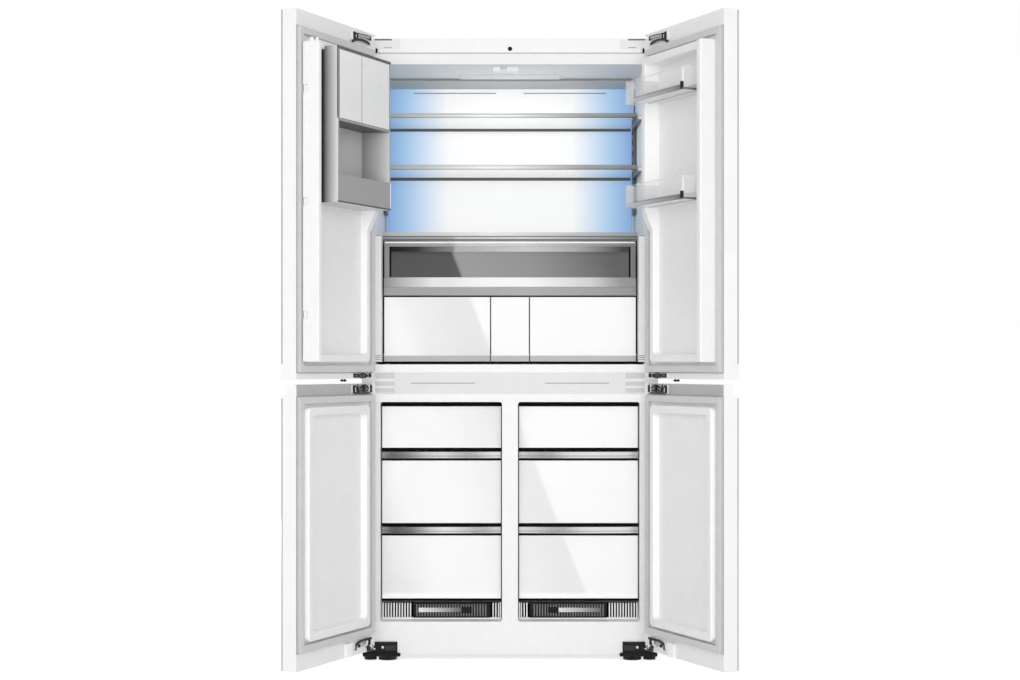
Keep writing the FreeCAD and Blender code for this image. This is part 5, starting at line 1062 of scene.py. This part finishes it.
for n, (across, rise) in enumerate(((-0.007, -0.002), (0.0, 0.003), (0.007, -0.002))):
    slab(f"inlet_pin_{n}", ZINC, "cabinet",
         (INLET_X + across - 0.001, REAR_PLANE - 0.027, INLET_Z + rise - 0.002),
         (INLET_X + across + 0.001, REAR_PLANE - 0.008, INLET_Z + rise + 0.002))

# Light, floor and camera
FILL = 0.555
FLOOR = 40.0
FLOOR_GLOW = 0.62
FLOOR_COLOUR = (0.9, 0.9, 0.9, 1)
WHITE = (1, 1, 1, 1)


def calc(tree, operation, *values):
    """The output of a maths node on outputs or numbers."""
    node = add(tree, "Math")
    node.operation = operation
    for socket, value in zip(node.inputs, values):
        feed(tree, socket, value)
    return node.outputs["Value"]


def shows_backdrop(tree):
    """A node output that is 1 for rays from the camera, and off gloss and through glass."""
    path = add(tree, "LightPath")
    result = path.outputs["Is Camera Ray"]
    for ray in ("Is Glossy Ray", "Is Transmission Ray"):
        result = calc(tree, "MAXIMUM", result, path.outputs[ray])
    return result


world = bpy.data.worlds.new("studio")
scene.world = world
world.use_nodes = True
tree = world.node_tree
tree.nodes.clear()
fill = add(tree, "Background", Color=WHITE, Strength=FILL)
shown = add(tree, "Background", Color=WHITE, Strength=1.0)
choose = add(tree, "MixShader", Fac=shows_backdrop(tree))
feed(tree, choose.inputs[1], fill.outputs["Background"])
feed(tree, choose.inputs[2], shown.outputs["Background"])
add(tree, "OutputWorld", Surface=choose.outputs["Shader"])

floor_mesh = bpy.data.meshes.new("floor")
corners = [(-FLOOR, -FLOOR, 0), (FLOOR, -FLOOR, 0), (FLOOR, FLOOR, 0), (-FLOOR, FLOOR, 0)]
floor_mesh.from_pydata(corners, [], [(0, 1, 2, 3)])
floor = bpy.data.objects.new("floor", floor_mesh)
scene.collection.objects.link(floor)
floor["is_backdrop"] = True
floor_look = bpy.data.materials.new("studio_floor")
floor_look.use_nodes = True
tree = floor_look.node_tree
tree.nodes.clear()
paint = add(tree, "BsdfDiffuse", Color=FLOOR_COLOUR)
shine = add(tree, "Emission", Strength=calc(tree, "MULTIPLY", shows_backdrop(tree), FLOOR_GLOW))
both = add(tree, "AddShader")
feed(tree, both.inputs[0], paint.outputs["BSDF"])
feed(tree, both.inputs[1], shine.outputs["Emission"])
add(tree, "OutputMaterial", Surface=both.outputs["Shader"])
floor_mesh.materials.append(floor_look)


def softbox(name, place, target, size, power):
    """A soft lamp aimed at a point, left out of reflections."""
    lamp = bpy.data.lights.new(name, "AREA")
    lamp.shape = "RECTANGLE"
    lamp.size, lamp.size_y = size
    lamp.energy = power
    obj = bpy.data.objects.new(name, lamp)
    scene.collection.objects.link(obj)
    obj.location = place
    obj.rotation_euler = (Vector(target) - Vector(place)).to_track_quat("-Z", "Y").to_euler()
    obj.visible_glossy = False


KEY_POWER, REAR_POWER, INSIDE_POWER = 102, 66, 0.8
INSIDE_Y = FRONT + 0.22
softbox("key", (0, FRONT - 4.6, 1.6), (0, FRONT, 0.8), (4.2, 3.0), KEY_POWER)
softbox("rear", (-1.6, CABINET_BACK + 4.2, 1.9), (0, CABINET_BACK, 0.9), (2.4, 2.4), REAR_POWER)
softbox("inside", (0, INSIDE_Y, CEILING - 0.012), (0, INSIDE_Y, 0.9), (0.3, 0.06), INSIDE_POWER)

# Reflector cards that only glossy surfaces see: a slanted edge between a dim and a bright part
CARD_DISTANCE = 1.5
CARD_HALF = 1.8
EDGE_TOP = (-0.237, 1.374)
EDGE_FOOT = (0.283, 0.045)
CARD_SLOPE = (EDGE_FOOT[0] - EDGE_TOP[0]) / (EDGE_FOOT[1] - EDGE_TOP[1])
CARD_TILT = math.atan2(EDGE_FOOT[0] - EDGE_TOP[0], EDGE_TOP[1] - EDGE_FOOT[1])
CARD_ACROSS = Vector((math.cos(CARD_TILT), 0, math.sin(CARD_TILT)))
CARD_START = CARD_ACROSS.dot(Vector((EDGE_TOP[0], 0, EDGE_TOP[1])))


def reflector(name, low, high, stops):
    """A card between two heights, with (distance right of the slanted edge, grey) stops."""
    made = bpy.data.meshes.new(name)
    corners = []
    for z, way in ((low, -1), (low, 1), (high, 1), (high, -1)):
        edge = EDGE_TOP[0] + (z - EDGE_TOP[1]) * CARD_SLOPE
        corners.append((edge + way * CARD_HALF, FRONT - CARD_DISTANCE, z))
    made.from_pydata(corners, [], [(0, 1, 2, 3)])
    card = bpy.data.objects.new(name, made)
    scene.collection.objects.link(card)
    card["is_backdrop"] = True
    for ray in ("camera", "diffuse", "shadow", "transmission"):
        setattr(card, "visible_" + ray, False)
    look = bpy.data.materials.new(name)
    look.use_nodes = True
    tree = look.node_tree
    greys = [(CARD_START + s * math.cos(CARD_TILT), (v, v, v)) for s, v in stops]
    glow = add(tree, "Emission", Color=graded(look, CARD_ACROSS, greys))
    feed(tree, tree.nodes["Material Output"].inputs["Surface"], glow.outputs["Emission"])
    made.materials.append(look)


CARD_LEVELS = (-0.4, 0.82, 1.174, 1.4)
reflector("crisper_card", CARD_LEVELS[1], CARD_LEVELS[2], (
    (-0.8, 1.0), (-0.33, 1.0), (-0.26, 0.43), (-0.164, 0.185), (-0.1, 0.0), (-0.002, 0.0),
    (0.002, 1.0), (1.0, 1.0),
))
reflector("upper_card", CARD_LEVELS[2], CARD_LEVELS[3], (
    (-0.8, 0.4), (-0.45, 0.95), (-0.27, 0.14), (-0.002, 0.17), (0.002, 1.0), (0.3, 0.85),
    (0.62, 0.26), (1.0, 0.34),
))
reflector("lower_card", CARD_LEVELS[0], CARD_LEVELS[1], (
    (-0.95, 0.1), (-0.74, 0.2), (-0.56, 1.0), (-0.36, 0.85), (-0.08, 0.2), (-0.002, 0.2),
    (0.002, 1.0), (0.6, 1.0), (0.95, 0.5),
))

camera = bpy.data.cameras.new("camera")
camera.lens = LENS
camera.sensor_width = SENSOR
camera.shift_y = HORIZON_SHIFT
view = bpy.data.objects.new("camera", camera)
scene.collection.objects.link(view)
view.location = (0, FRONT - EYE_DISTANCE, EYE_HEIGHT)
view.rotation_euler = (math.pi / 2, 0, 0)
scene.camera = view

low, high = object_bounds()
